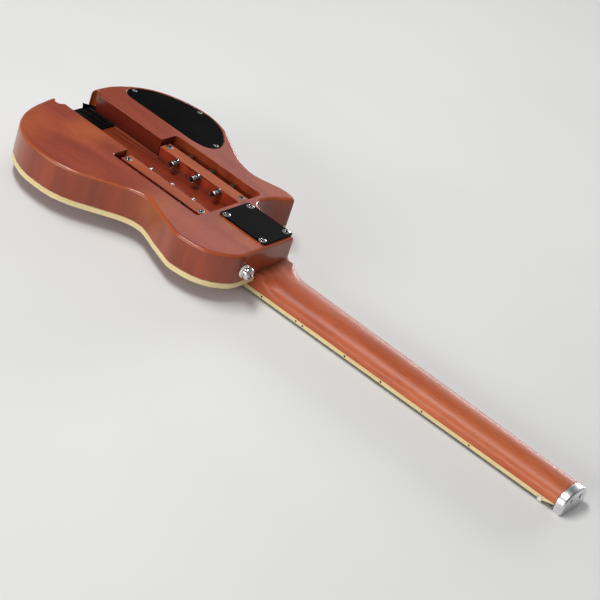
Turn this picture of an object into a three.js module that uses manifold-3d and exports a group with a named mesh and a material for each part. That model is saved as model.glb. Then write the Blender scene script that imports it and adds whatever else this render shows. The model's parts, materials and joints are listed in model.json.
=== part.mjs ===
// Travel guitar, lying face down: its strings turn round the tail and end at tuners in a well in the back.
// X runs from the tail to the nut end, Y to the treble side and Z up to the back. Millimetres.
import * as THREE from 'three';
import { mergeVertices } from 'three/addons/utils/BufferGeometryUtils.js';
import Module from 'manifold-3d';

const wasm = await Module();
wasm.setup();

// Common values
const clearance = 0.3;
const overrun = 1;
const bigSides = 20;
const midSides = 12;
const smallSides = 10;
const screwSides = 8;
const sides = [-1, 1];

// Body
const tailPastBridge = 55.35;
const bodyHalfWidth = 124;
const bodyThickness = 40;
const bodyFrontZ = 17.1;
const backEdgeRadius = 3.5;
const backEdgeSteps = 2;
const outlineSteps = 2;
const cornerSteps = 2;
const bindingWidth = 2;
const bindingHeight = 6;

// Neck and fretboard
const scaleLength = 628.65;
const fretCount = 22;
const frettedOctave = 12;
const nutHalfWidth = 21.35;
const neckTaper = 0.0151;
const gluePlaneZ = 8.3;
const boardThickness = 4.7;
const boardOverhang = 4;
const neckDepth = 15.5;
const pocketLength = 75.4;
const heelRiseLength = 30.3;
const roundPower = 2.2;
const squarePower = 14;
const neckWoodPastNut = 18.9;
const heelFlatDepth = 18.8;
const sideStripWidth = 2;
const fretWidth = 2.4;
const fretHeight = 1;
const nutLength = 5;
const nutSlotDepth = 2.4;
const nutTopZ = 1;
const rampLip = 0.6;
const pocketFloorZ = 30;

// String end block
const blockLength = 9.4;
const blockBevel = 1.6;
const blockScrewSpacing = 15;
const blockScrewZ = 13.5;
const blockScrewRadius = 1.7;
const blockScrewHeadRadius = 3;
const blockScrewHeadHeight = 2;
const blockScrewLength = 26;

// Neck plate and its screws
const plateLength = 64;
const plateWidth = 47;
const plateThickness = 1.5;
const plateCorner = 3;
const plateShift = 2.2;
const plateMargin = 3.1;
const plateWeb = 6.5;
const plateScrewLength = 50.8;
const plateScrewWidth = 38.1;
const neckScrewRadius = 2.2;
const neckScrewHeadRadius = 4;
const neckScrewHeadHeight = 2.4;
const neckScrewLength = 45;

// Slot, well and rails
const slotHalfWidth = 26.4;
const slotFloorZ = 35.6;
const bridgeToWell = 58.65;
const wellHalfWidth = 50.8;
const wellCorner = 5;
const trenchFloorZ = 24;
const railInnerY = 23.1;
const railWidth = 15;
const railTopZ = 51;
const railTailGap = 3;
const railNeckGap = 1.3;
const railTailScrewInset = 5;
const railNeckScrewInset = 9.5;
const railScrewEdge = 5.8;
const railScrewRadius = 1.7;
const railScrewHeadRadius = 3.6;
const railScrewHeadHeight = 2;
const railScrewLength = 28;

// Tuners: three on each rail, each post across the slot and each button on a shaft out of the front
const tunersPerSide = 3;
const tunerPitch = 31;
const tunerTailInset = 30;
const tunerNeckInset = 33.8;
const postZ = 46.1;
const postRadius = 3;
const trebleTipY = 13;
const bassTipY = 17.4;
const postSeatDepth = 2.6;
const postCapRadius = 3.7;
const postCapLength = 1.4;
const windingTurns = 2;
const bushingRadius = 3.8;
const bushingFlangeRadius = 4.6;
const bushingFlangeThickness = 0.8;
const gearCaseRadius = 4.4;
const wormCaseRadius = 3.4;
const wormCaseRise = 1.6;
const housingDrop = 6.5;
const housingDepth = 8.8;
const wormOffset = 6.5;
const shaftRadius = 1.6;
const buttonLength = 17;
const buttonHeight = 12;
const buttonThickness = 7.5;
const buttonEdge = 1.6;
const buttonBottomZ = 3.4;
const buttonCollarRadius = 2.8;
const buttonCollarHeight = 1;

// Strings, from the bass side to the treble side
const stringDiameters = [1.2, 1, 0.8, 0.6, 0.5, 0.4];
const stringSides = 6;
const nutSpacing = 7.1;
const bridgeSpacing = 10.4;
const guideSpacing = 9.6;
const stringAtNutZ = 1.6;
const stringAtSaddleZ = 0.9;
const ballRadius = 2;
const ballInset = 5.7;
const ballSides = 6;
const ballZ = 4.6;
const noseSteps = 6;

// Bridge on the front
const bridgePlateLength = 24;
const bridgePlateWidth = 76;
const bridgePlateThickness = 4;
const saddleBlockLength = 11;
const saddleBlockWidth = 66;
const saddleCrown = 3;

// Tail guide: a grooved round nose over the end of the tongue under the slot
const tongueInset = 12;
const guideLength = 36.5;
const guideTopZ = 37.6;
const noseRadius = 10.7;
const noseInset = 11;
const earRadius = 5.7;
const earInset = 10;
const earY = 27;
const mouthHalfWidth = 29;
const mouthDepth = 6;

// Pickup and its ring on the front
const ringFromBridge = 4.15;
const pickupLength = 34;
const pickupWidth = 68;
const pickupTopZ = 4.5;
const pickupHeight = 17.5;
const pickupCorner = 4;
const ringWall = 4.2;
const ringEnd = 9.7;
const ringHeight = 8.3;
const ringCorner = 5;
const pickupCavityFloorZ = 24;

// Control cavity, cover, volume control and output jack
const coverThickness = 2;
const cavityFloorZ = 22;
const coverScrewRadius = 1.3;
const coverScrewHeadRadius = 2.7;
const coverScrewHeadHeight = 1.5;
const coverScrewLength = 11;
const knobShares = [0.2042, 0.7097];
const knobRadius = 9.5;
const knobHeight = 11;
const knobEdge = 0.8;
const knobTopZ = 4.2;
const knobRecess = 3;
const potRadius = 8;
const potHeight = 7.5;
const potBushingRadius = 3.8;
const potBushingReach = 2.2;
const potShaftRadius = 2.4;
const jackAlongShare = 0.3063;
const jackCupRadius = 10;
const jackCupDepth = 5.6;
const jackNutRadius = 7;
const jackNutThickness = 2.4;
const jackSleeveRadius = 4.8;
const jackBodyRadius = 6.8;
const jackBodyShare = 0.8758;
const jackLength = 27;
const jackBore = 3.3;

// Strap buttons: one on the bass shoulder, one on the tail
const strapHeight = 10;
const strapRadius = 7.3;
const strapWaist = 3.6;
const strapFoot = 5.4;
const strapScrewRadius = 1.6;
const strapScrewLength = 22;
const shoulderStrapShare = -0.4274;
const tailStrapShare = 0.4597;

// Worked out from the values above: a reach is a distance from the nut towards the tail
const tailReach = scaleLength + tailPastBridge;
const wellTailReach = scaleLength - bridgeToWell;
const wellNeckReach = wellTailReach - tunerTailInset - (tunersPerSide - 1) * tunerPitch - tunerNeckInset;
const plateReach = wellNeckReach - plateWeb - plateLength / 2;
const heelReach = plateReach - plateLength / 2 - plateMargin;
const neckEndReach = heelReach + pocketLength;
const railTailReach = wellTailReach - railTailGap;
const railNeckReach = wellNeckReach + railNeckGap;
const railScrewReaches = [railTailReach - railTailScrewInset, railNeckReach + railNeckScrewInset];
const bodyLength = tailReach - heelReach;
const bodyBackZ = bodyFrontZ + bodyThickness;
const bodyMiddleZ = bodyFrontZ + bodyThickness / 2;
const blockEnd = neckWoodPastNut + blockLength;
const boardFrontZ = gluePlaneZ - boardThickness;
const fretTopZ = boardFrontZ - fretHeight;
const railOuterY = railInnerY + railWidth;
const railScrewY = railOuterY - railScrewEdge;
const housingInnerY = railOuterY + clearance;
const wormY = housingInnerY + housingDepth / 2;
const flangeOuterY = railInnerY - clearance;
const flangeInnerY = flangeOuterY - bushingFlangeThickness;
const postInnerY = housingInnerY + postSeatDepth;
const noseCentreReach = tailReach - noseInset;
const noseCentreZ = guideTopZ - noseRadius;
const tongueReach = tailReach - tongueInset;
const guideReach = tongueReach - guideLength;
const earReach = tailReach - earInset;
const mouthReach = tailReach - mouthDepth;
const ringLength = pickupLength + 2 * (clearance + ringWall);
const ringWidth = pickupWidth + 2 * (clearance + ringEnd);
const pickupReach = scaleLength - bridgePlateLength / 2 - ringFromBridge - ringLength / 2;
const knobReach = tailReach - knobShares[0] * bodyLength;
const knobY = knobShares[1] * bodyHalfWidth;
const jackReach = tailReach - jackAlongShare * bodyLength;
const jackCupY = bodyHalfWidth - jackCupDepth;
const jackBodyY = jackBodyShare * bodyHalfWidth;

// Shape helpers

function point(x, y, z) {
  return new THREE.Vector3(x, y, z);
}

function toSolid(geometry) {
  const bare = geometry.clone();
  bare.deleteAttribute('normal');
  bare.deleteAttribute('uv');
  const merged = mergeVertices(bare, 1e-5);
  const vertProperties = new Float32Array(merged.attributes.position.array);
  const triVerts = new Uint32Array(merged.index.array);
  return new wasm.Manifold(new wasm.Mesh({ numProp: 3, vertProperties, triVerts }));
}

function toGeometry(solid) {
  const mesh = solid.getMesh();
  const geometry = new THREE.BufferGeometry();
  geometry.setAttribute('position', new THREE.BufferAttribute(new Float32Array(mesh.vertProperties), 3));
  geometry.setIndex(new THREE.BufferAttribute(new Uint32Array(mesh.triVerts), 1));
  geometry.computeVertexNormals();
  return geometry;
}

function cut(solid, ...tools) {
  return tools.flat().reduce((left, tool) => left.subtract(tool), solid);
}

function join(solid, ...others) {
  return others.flat().reduce((whole, other) => whole.add(other), solid);
}

function block(x, y, z) {
  const geometry = new THREE.BoxGeometry(x[1] - x[0], y[1] - y[0], z[1] - z[0]);
  geometry.translate((x[0] + x[1]) / 2, (y[0] + y[1]) / 2, (z[0] + z[1]) / 2);
  return toSolid(geometry);
}

// A cylinder or cone between two points
function rod(from, to, radius, sideCount = midSides, endRadius = radius) {
  const geometry = new THREE.CylinderGeometry(endRadius, radius, from.distanceTo(to), sideCount);
  const turn = new THREE.Quaternion().setFromUnitVectors(point(0, 1, 0), to.clone().sub(from).normalize());
  geometry.applyQuaternion(turn);
  const middle = from.clone().add(to).multiplyScalar(1 / 2);
  geometry.translate(middle.x, middle.y, middle.z);
  return toSolid(geometry);
}

// A turned piece: profile pairs are radius and distance along the axis from its foot
function turned(profile, foot, direction, sideCount = midSides) {
  const points = profile.map(([radius, along]) => new THREE.Vector2(radius, along));
  const geometry = new THREE.LatheGeometry(points, sideCount);
  geometry.applyQuaternion(new THREE.Quaternion().setFromUnitVectors(point(0, 1, 0), direction));
  geometry.translate(foot.x, foot.y, foot.z);
  return toSolid(geometry);
}

// A flat outline in X and Y, raised between two heights
function raise(outline, low, high) {
  const shape = outline instanceof THREE.Shape ? outline : new THREE.Shape(outline);
  const geometry = new THREE.ExtrudeGeometry(shape, {
    depth: high - low, bevelEnabled: false, curveSegments: cornerSteps,
  });
  geometry.translate(0, 0, low);
  return toSolid(geometry);
}

// A side outline in X and Z, drawn out along Y
function drawAcross(outline, low, high) {
  const geometry = new THREE.ExtrudeGeometry(new THREE.Shape(outline), {
    depth: high - low, bevelEnabled: false, curveSegments: cornerSteps,
  });
  geometry.rotateX(Math.PI / 2);
  geometry.translate(0, high, 0);
  return toSolid(geometry);
}

function roundedRectangle(x, y, radius) {
  const shape = new THREE.Shape();
  shape.moveTo(x[0] + radius, y[0]);
  shape.lineTo(x[1] - radius, y[0]);
  shape.absarc(x[1] - radius, y[0] + radius, radius, -Math.PI / 2, 0);
  shape.lineTo(x[1], y[1] - radius);
  shape.absarc(x[1] - radius, y[1] - radius, radius, 0, Math.PI / 2);
  shape.lineTo(x[0] + radius, y[1]);
  shape.absarc(x[0] + radius, y[1] - radius, radius, Math.PI / 2, Math.PI);
  shape.lineTo(x[0], y[0] + radius);
  shape.absarc(x[0] + radius, y[0] + radius, radius, Math.PI, Math.PI * 3 / 2);
  return shape;
}

// Moves each point of a closed outline inwards by a distance
function inset(points, distance) {
  const count = points.length;
  return points.map((here, i) => {
    const before = here.clone().sub(points[(i + count - 1) % count]).normalize();
    const after = points[(i + 1) % count].clone().sub(here).normalize();
    const along = before.clone().add(after).normalize();
    const inwards = new THREE.Vector2(-along.y, along.x);
    const reach = distance / Math.max(along.dot(after), 1 / 2);
    return here.clone().addScaledVector(inwards, reach);
  });
}

// Skins a row of rings that have the same number of points; both ends take the first ring's triangles
function loft(rings, flatten) {
  const size = rings[0].length;
  const last = (rings.length - 1) * size;
  const index = [];
  for (let start = 0; start < last; start += size) {
    for (let i = 0; i < size; i += 1) {
      const here = start + i;
      const next = start + (i + 1) % size;
      index.push(here, next, here + size, next, next + size, here + size);
    }
  }
  for (const [a, b, c] of THREE.ShapeUtils.triangulateShape(rings[0].map(flatten), [])) {
    index.push(a, c, b, last + a, last + b, last + c);
  }
  const geometry = new THREE.BufferGeometry();
  const positions = rings.flat().flatMap((p) => [p.x, p.y, p.z]);
  geometry.setAttribute('position', new THREE.Float32BufferAttribute(positions, 3));
  geometry.setIndex(index);
  return toSolid(geometry);
}

// A curve through stations, with one tube step from each station to the next
class StationRoute extends THREE.Curve {
  constructor(stations) {
    super();
    this.stations = stations;
  }

  getUtoTmapping(u) {
    return u;
  }

  getPoint(t) {
    const last = this.stations.length - 1;
    const place = Math.min(t * last, last);
    const i = Math.min(Math.floor(place), last - 1);
    return this.stations[i].clone().lerp(this.stations[i + 1], place - i);
  }

  getTangent(t) {
    const last = this.stations.length - 1;
    const i = Math.round(t * last);
    const here = this.stations[i];
    const ahead = this.stations[Math.min(i + 1, last)].clone().sub(here).normalize();
    const behind = here.clone().sub(this.stations[Math.max(i - 1, 0)]).normalize();
    return ahead.add(behind).normalize();
  }
}

function tube(stations, radius) {
  const section = new THREE.Shape();
  section.absarc(0, 0, radius, 0, Math.PI * 2);
  const geometry = new THREE.ExtrudeGeometry(section, {
    steps: stations.length - 1,
    curveSegments: stringSides / 2,
    extrudePath: new StationRoute(stations),
  });
  return toSolid(geometry);
}

// A countersunk screw with a low dome, its crown at the given place
function makeScrew({ crown, direction, radius, headRadius, headHeight, length }) {
  const profile = [
    [0, 0], [radius, 0], [radius, length - headHeight], [headRadius, length - headHeight / 3],
    [headRadius - headHeight / 3, length], [0, length],
  ];
  return turned(profile, crown.clone().addScaledVector(direction, -length), direction, screwSides);
}

// The hole and countersink that a screw needs in the pieces that it passes
function screwRoom({ crown, direction, radius, headRadius, headHeight, length }) {
  const profile = [
    [0, -clearance],
    [radius + clearance, -clearance],
    [radius + clearance, length - headHeight - clearance],
    [headRadius + clearance, length - headHeight / 3 - clearance],
    [headRadius + clearance, length + overrun],
    [0, length + overrun],
  ];
  return turned(profile, crown.clone().addScaledVector(direction, -length), direction, screwSides);
}

// Outlines: shares of the body's length from the tail, and of its half width

const bassOutlineShares = [
  [0.002, 0.242], [0.014, 0.452], [0.041, 0.669], [0.099, 0.863], [0.191, 0.98], [0.268, 1], [0.341, 0.984],
  [0.412, 0.907], [0.501, 0.75], [0.562, 0.653], [0.625, 0.623], [0.699, 0.694], [0.795, 0.782],
  [0.83, 0.793], [0.903, 0.758], [0.96, 0.665], [0.996, 0.52], [1, 0.403],
];
const trebleOutlineShares = [
  [0.013, 0.242], [0.016, 0.441], [0.043, 0.631], [0.085, 0.786], [0.144, 0.897], [0.22, 0.972], [0.31, 1],
  [0.402, 0.944], [0.459, 0.851], [0.515, 0.762], [0.576, 0.661], [0.64, 0.615], [0.685, 0.621],
  [0.758, 0.68], [0.803, 0.687], [0.837, 0.656], [0.823, 0.573], [0.802, 0.49], [0.79, 0.339],
  [0.8, 0.269], [0.833, 0.223], [0.922, 0.199], [1, 0.162],
];
const coverStraightShares = [[0.1, 0.483], [0.405, 0.481]];
const coverRoundShares = [
  [0.405, 0.481], [0.455, 0.507], [0.482, 0.573], [0.484, 0.656], [0.46, 0.765], [0.417, 0.868],
  [0.373, 0.928], [0.31, 0.962], [0.227, 0.935], [0.153, 0.859], [0.1005, 0.762], [0.07, 0.661],
  [0.061, 0.585], [0.072, 0.517], [0.1, 0.483],
];
const cavityShares = [
  [0.44, 0.552], [0.459, 0.589], [0.463, 0.661], [0.437, 0.754], [0.386, 0.839], [0.31, 0.887],
  [0.23, 0.863], [0.163, 0.79], [0.115, 0.694], [0.1085, 0.629], [0.124, 0.593],
];
const coverScrewShares = [[0.0765, 0.607], [0.282, 0.926], [0.471, 0.627]];

function fromShares(shares, side = 1) {
  return shares.map(([along, across]) => {
    return new THREE.Vector2(along * bodyLength - tailReach, across * bodyHalfWidth * side);
  });
}

function spline(points) {
  return new THREE.SplineCurve(points).getPoints((points.length - 1) * outlineSteps);
}

function bodyOutline() {
  const bass = spline(fromShares(bassOutlineShares, -1));
  const treble = spline(fromShares(trebleOutlineShares));
  return [...bass, ...treble.reverse()];
}

function coverOutline() {
  const straight = fromShares(coverStraightShares);
  const round = spline(fromShares(coverRoundShares));
  return [straight[0], ...round.slice(0, -1)];
}

// Neck shapes: shares of the way to the heel, of its extra depth and of its squareness

const heelRiseShares = [
  [0.02, 0, 0], [0.3, 0.12, 0.025], [0.5, 0.4, 0.085], [0.66, 0.75, 0.24], [0.8, 1, 1],
];

function neckHalfWidth(x) {
  return nutHalfWidth - neckTaper * x;
}

function fretX(number) {
  return -scaleLength * (1 - 2 ** (-number / frettedOctave));
}

// Half of a squared ellipse below the glue plane, from bass edge to treble edge
function neckRing(x, depth, power, steps = midSides) {
  const half = neckHalfWidth(x);
  const ring = [];
  for (let i = 0; i <= steps; i += 1) {
    const angle = Math.PI * i / steps;
    const across = Math.sign(Math.cos(angle)) * Math.abs(Math.cos(angle)) ** (2 / power);
    const down = Math.sin(angle) ** (2 / power);
    ring.push(point(x, -half * across, gluePlaneZ + depth * Math.abs(down)));
  }
  return ring;
}

function neckPlan(low, high, margin) {
  const lowHalf = neckHalfWidth(low) + margin;
  const highHalf = neckHalfWidth(high) + margin;
  return [
    new THREE.Vector2(low, -lowHalf),
    new THREE.Vector2(high, -highHalf),
    new THREE.Vector2(high, highHalf),
    new THREE.Vector2(low, lowHalf),
  ];
}

// Places shared by pieces that seat on each other

const boardEndX = fretX(fretCount) - boardOverhang;
const up = point(0, 0, 1);
const ahead = point(1, 0, 0);
const across = point(0, 1, 0);
const plateTopZ = bodyBackZ + clearance + plateThickness;
const plateScrews = sides.flatMap((along) => sides.map((side) => ({
  crown: point(-plateReach + along * plateScrewLength / 2, side * plateScrewWidth / 2 - plateShift,
    plateTopZ + neckScrewHeadHeight / 3),
  direction: up,
  radius: neckScrewRadius,
  headRadius: neckScrewHeadRadius,
  headHeight: neckScrewHeadHeight,
  length: neckScrewLength,
})));
const blockScrews = sides.map((side) => ({
  crown: point(blockEnd, side * blockScrewSpacing / 2, blockScrewZ),
  direction: ahead,
  radius: blockScrewRadius,
  headRadius: blockScrewHeadRadius,
  headHeight: blockScrewHeadHeight,
  length: blockScrewLength,
}));
const railScrews = sides.flatMap((side) => railScrewReaches.map((reach) => ({
  crown: point(-reach, side * railScrewY, railTopZ + railScrewHeadHeight / 3),
  direction: up,
  radius: railScrewRadius,
  headRadius: railScrewHeadRadius,
  headHeight: railScrewHeadHeight,
  length: railScrewLength,
})));
const coverScrews = fromShares(coverScrewShares).map((place) => ({
  crown: point(place.x, place.y, bodyBackZ + coverScrewHeadHeight / 3),
  direction: up,
  radius: coverScrewRadius,
  headRadius: coverScrewHeadRadius,
  headHeight: coverScrewHeadHeight,
  length: coverScrewLength,
}));
const tuners = stringDiameters.map((diameter, i) => {
  const side = i < tunersPerSide ? -1 : 1;
  const order = side < 0 ? i : stringDiameters.length - 1 - i;
  const tipY = side < 0 ? bassTipY : trebleTipY;
  const windingY = (tipY + postCapLength + flangeInnerY) / 2;
  const x = -(wellTailReach - tunerTailInset - order * tunerPitch);
  return { side, x, tipY, windingY, wireRadius: diameter / 2 };
});

// String routes

function postWindingRadius(tuner) {
  return postRadius + 2 * tuner.wireRadius;
}

// Angle at which a straight line from a point touches a circle in the X Z plane
function touchAngle(from, centre, radius, turn) {
  const dx = from.x - centre.x;
  const dz = from.z - centre.z;
  const away = Math.atan2(dz, dx);
  return away + turn * Math.acos(radius / Math.hypot(dx, dz));
}

function stringRoute(i) {
  const rank = i - (stringDiameters.length - 1) / 2;
  const tuner = tuners[i];
  const nutY = rank * nutSpacing;
  const bridgeY = rank * bridgeSpacing;
  const guideY = rank * guideSpacing;
  const noseCentre = point(-noseCentreReach, guideY, noseCentreZ);
  const wrap = noseRadius - tuner.wireRadius / 2;
  const saddle = point(-scaleLength, bridgeY, stringAtSaddleZ);
  const endDrop = postWindingRadius(tuner) + clearance + tuner.wireRadius;
  const end = point(tuner.x, tuner.side * tuner.windingY, postZ - endDrop);
  const start = touchAngle(saddle, noseCentre, wrap, -1);
  const finish = touchAngle(end, noseCentre, wrap, 1) - Math.PI * 2;
  const nose = [];
  for (let s = 0; s <= noseSteps; s += 1) {
    const angle = start + (finish - start) * s / noseSteps;
    nose.push(point(noseCentre.x + wrap * Math.cos(angle), guideY, noseCentre.z + wrap * Math.sin(angle)));
  }
  const front = [
    point(neckWoodPastNut + ballInset, nutY, ballZ),
    point(nutLength / 2, nutY, stringAtNutZ),
    saddle,
  ];
  return { front, nose, end };
}

function stringStations(i) {
  const { front, nose, end } = stringRoute(i);
  return [...front, ...nose, end];
}

function makeString(i) {
  const ball = new THREE.SphereGeometry(ballRadius, ballSides, ballSides - 2);
  const seat = stringStations(i)[0];
  ball.translate(seat.x, seat.y, seat.z);
  return join(tube(stringStations(i), stringDiameters[i] / 2), toSolid(ball));
}

// Tubes that leave room for the strings in a piece that they cross
function stringRoom() {
  return stringDiameters.map((diameter, i) => tube(stringStations(i), diameter / 2 + clearance));
}

// Body

function makeBodyBlank() {
  const outline = bodyOutline();
  const ringAt = (margin, z) => inset(outline, margin).map((p) => point(p.x, p.y, z));
  const rings = [ringAt(0, bodyFrontZ)];
  for (let step = 0; step <= backEdgeSteps; step += 1) {
    const angle = Math.PI / 2 * step / backEdgeSteps;
    rings.push(ringAt(backEdgeRadius * (1 - Math.cos(angle)),
      bodyBackZ - backEdgeRadius * (1 - Math.sin(angle))));
  }
  return loft(rings, (p) => new THREE.Vector2(p.x, p.y));
}

function wellCuts() {
  const wellX = [-wellTailReach, -wellNeckReach];
  const tools = [];
  tools.push(block([-tailReach - overrun, -wellTailReach + wellCorner], [-slotHalfWidth, slotHalfWidth],
    [slotFloorZ, bodyBackZ + overrun]));
  tools.push(raise(roundedRectangle(wellX, [-wellHalfWidth, wellHalfWidth], wellCorner),
    slotFloorZ, bodyBackZ + overrun));
  for (const side of sides) {
    const edges = [side * (railOuterY + clearance), side * wellHalfWidth].sort((a, b) => a - b);
    tools.push(raise(roundedRectangle(wellX, edges, wellCorner), trenchFloorZ, slotFloorZ + overrun));
  }
  for (const tuner of tuners) {
    const foot = point(tuner.x + wormOffset, tuner.side * wormY, bodyFrontZ - overrun);
    const top = foot.clone().setZ(trenchFloorZ + overrun);
    tools.push(rod(foot, top, buttonCollarRadius, smallSides));
  }
  return [...tools, ...railScrews.map(screwRoom)];
}

function tailCuts() {
  const full = [bodyFrontZ - overrun, bodyBackZ + overrun];
  const tools = [
    block([-tailReach - overrun, -tongueReach], [-slotHalfWidth, slotHalfWidth], full),
    block([-tailReach - overrun, -mouthReach], [-mouthHalfWidth, mouthHalfWidth], full),
  ];
  for (const side of sides) {
    const foot = point(-earReach, side * earY, full[0]);
    tools.push(rod(foot, foot.clone().setZ(full[1]), earRadius + clearance, bigSides));
  }
  return tools;
}

function neckCuts() {
  const low = -neckEndReach - clearance;
  const pocket = raise(neckPlan(low, 0, clearance), bodyFrontZ - overrun, pocketFloorZ);
  return [pocket, ...plateScrews.map(screwRoom)];
}

function controlCuts() {
  const outline = coverOutline();
  const tools = [
    raise(inset(outline, -clearance), bodyBackZ - coverThickness - clearance, bodyBackZ + overrun),
    raise(spline(fromShares(cavityShares)), cavityFloorZ, bodyBackZ),
  ];
  tools.push(...coverScrews.map(screwRoom));
  const pot = point(-knobReach, knobY, bodyFrontZ - overrun);
  tools.push(rod(pot, pot.clone().setZ(cavityFloorZ + overrun), potBushingRadius + clearance));
  const jack = point(-jackReach, jackBodyY - jackBodyRadius, bodyMiddleZ);
  tools.push(rod(jack, jack.clone().setY(jackCupY + overrun), jackSleeveRadius + clearance));
  const cupEnds = [jackCupY, bodyHalfWidth + overrun].map((y) => jack.clone().setY(y));
  tools.push(rod(cupEnds[0], cupEnds[1], jackCupRadius, bigSides));
  return tools;
}

function pickupCut() {
  const x = [-pickupReach - pickupLength / 2 - clearance, -pickupReach + pickupLength / 2 + clearance];
  const y = [-pickupWidth / 2 - clearance, pickupWidth / 2 + clearance];
  return raise(roundedRectangle(x, y, pickupCorner), bodyFrontZ - overrun, pickupCavityFloorZ);
}

function strapCuts() {
  return strapSeats().map(({ foot, direction }) => {
    const inner = foot.clone().addScaledVector(direction, -strapScrewLength - clearance);
    const outer = foot.clone().addScaledVector(direction, strapHeight);
    return rod(inner, outer, strapScrewRadius + clearance, smallSides);
  });
}

function bindingRing(margin, outerMargin) {
  const outer = raise(inset(bodyOutline(), -outerMargin), bodyFrontZ - outerMargin,
    bodyFrontZ + bindingHeight + margin);
  const inner = raise(inset(bodyOutline(), bindingWidth + margin), bodyFrontZ - overrun - outerMargin,
    bodyFrontZ + bindingHeight + margin + overrun);
  return cut(outer, inner);
}

function makeBody() {
  return cut(makeBodyBlank(), bindingRing(clearance, overrun), wellCuts(), tailCuts(), neckCuts(),
    controlCuts(), pickupCut(), strapCuts());
}

// The binding runs round the front edge from the tail mouth to the neck, once on each side
function makeBinding(side) {
  const far = side * (bodyHalfWidth + overrun);
  const near = side * (mouthHalfWidth + clearance);
  const half = block([-tailReach - overrun, 0], [Math.min(near, far), Math.max(near, far)],
    [bodyFrontZ - overrun, bodyFrontZ + bindingHeight + overrun]);
  return cut(bindingRing(0, 0).intersect(half), tailCuts());
}

function makeRail(side) {
  const y = [side * railInnerY, side * railOuterY].sort((a, b) => a - b);
  const rail = block([-railTailReach, -railNeckReach], y, [slotFloorZ + clearance, railTopZ]);
  const tools = [];
  for (const tuner of tuners.filter((t) => t.side === side)) {
    const middle = point(tuner.x, 0, postZ);
    tools.push(rod(middle, middle.clone().setY(side * bodyHalfWidth), bushingRadius + clearance));
  }
  return cut(rail, tools, railScrews.map(screwRoom));
}

// Tuners

// A round case over the gear, a barrel over the worm and a bushing that reaches through the rail
function makeHousing(tuner) {
  const far = housingInnerY + housingDepth;
  const wormX = tuner.x + wormOffset;
  const foot = postZ - housingDrop;
  const axis = point(tuner.x, 0, postZ);
  const gearCase = rod(axis.clone().setY(housingInnerY), axis.clone().setY(far),
    gearCaseRadius, smallSides);
  const wormFoot = point(wormX, wormY, foot);
  const wormTop = wormFoot.clone().setZ(postZ + wormCaseRise);
  const wormCase = rod(wormFoot, wormTop, wormCaseRadius, screwSides);
  const bushing = rod(axis.clone().setY(flangeInnerY), axis.clone().setY(housingInnerY + overrun),
    bushingRadius, smallSides);
  const flange = rod(axis.clone().setY(flangeInnerY), axis.clone().setY(flangeOuterY),
    bushingFlangeRadius, smallSides);
  const postBore = rod(axis.clone().setY(flangeInnerY - overrun), axis.clone().setY(postInnerY + clearance),
    postRadius + clearance, smallSides);
  const shaftEnds = [foot - overrun, postZ + clearance].map((z) => wormFoot.clone().setZ(z));
  const shaftBore = rod(shaftEnds[0], shaftEnds[1], shaftRadius + clearance, screwSides);
  const baseX = [tuner.x - gearCaseRadius, wormX + wormCaseRadius];
  const base = block(baseX, [housingInnerY, far], [foot, postZ]);
  const shell = join(base, gearCase, wormCase, bushing, flange);
  return mirrored(cut(shell, postBore, shaftBore), tuner.side);
}

function makePost(tuner) {
  const wire = tuner.wireRadius;
  const start = tuner.windingY - tuner.tipY - windingTurns * wire;
  const profile = [[0, 0], [postCapRadius - postCapLength / 2, 0], [postCapRadius, postCapLength / 2]];
  profile.push([postCapRadius, postCapLength * 3 / 4], [postRadius, postCapLength]);
  for (let turn = 0; turn < windingTurns; turn += 1) {
    const along = start + turn * 2 * wire;
    profile.push([postRadius, along], [postRadius + 2 * wire, along + wire]);
  }
  profile.push([postRadius, start + windingTurns * 2 * wire]);
  profile.push([postRadius, postInnerY - tuner.tipY], [0, postInnerY - tuner.tipY]);
  return mirrored(turned(profile, point(tuner.x, tuner.tipY, postZ), across, smallSides), tuner.side);
}

function makeButton(tuner) {
  const paddle = new THREE.Shape();
  paddle.absellipse(0, 0, buttonLength / 2 - buttonEdge, buttonHeight / 2 - buttonEdge, 0, Math.PI * 2);
  const geometry = new THREE.ExtrudeGeometry(paddle, {
    depth: buttonThickness - 2 * buttonEdge,
    bevelThickness: buttonEdge,
    bevelSize: buttonEdge,
    bevelSegments: 1,
    curveSegments: smallSides / 2,
  });
  geometry.translate(0, 0, buttonEdge - buttonThickness / 2);
  geometry.rotateX(Math.PI / 2);
  const x = tuner.x + wormOffset;
  geometry.translate(x, wormY, buttonBottomZ + buttonHeight / 2);
  const top = buttonBottomZ + buttonHeight;
  const middle = point(x, wormY, top - buttonHeight / 2);
  const shaft = rod(middle, middle.clone().setZ(postZ), shaftRadius, screwSides);
  const collarTop = middle.clone().setZ(top + buttonCollarHeight);
  const collar = rod(middle, collarTop, buttonCollarRadius - clearance, screwSides);
  return mirrored(join(toSolid(geometry), shaft, collar), tuner.side);
}

// Pieces of the bass side are the treble ones mirrored across the middle plane
function mirrored(solid, side) {
  if (side > 0) {
    return solid;
  }
  const geometry = toGeometry(solid);
  geometry.scale(1, -1, 1);
  const index = geometry.index.array;
  for (let i = 0; i < index.length; i += 3) {
    [index[i], index[i + 1]] = [index[i + 1], index[i]];
  }
  return toSolid(geometry);
}

// Bridge, pickup and tail guide

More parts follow.
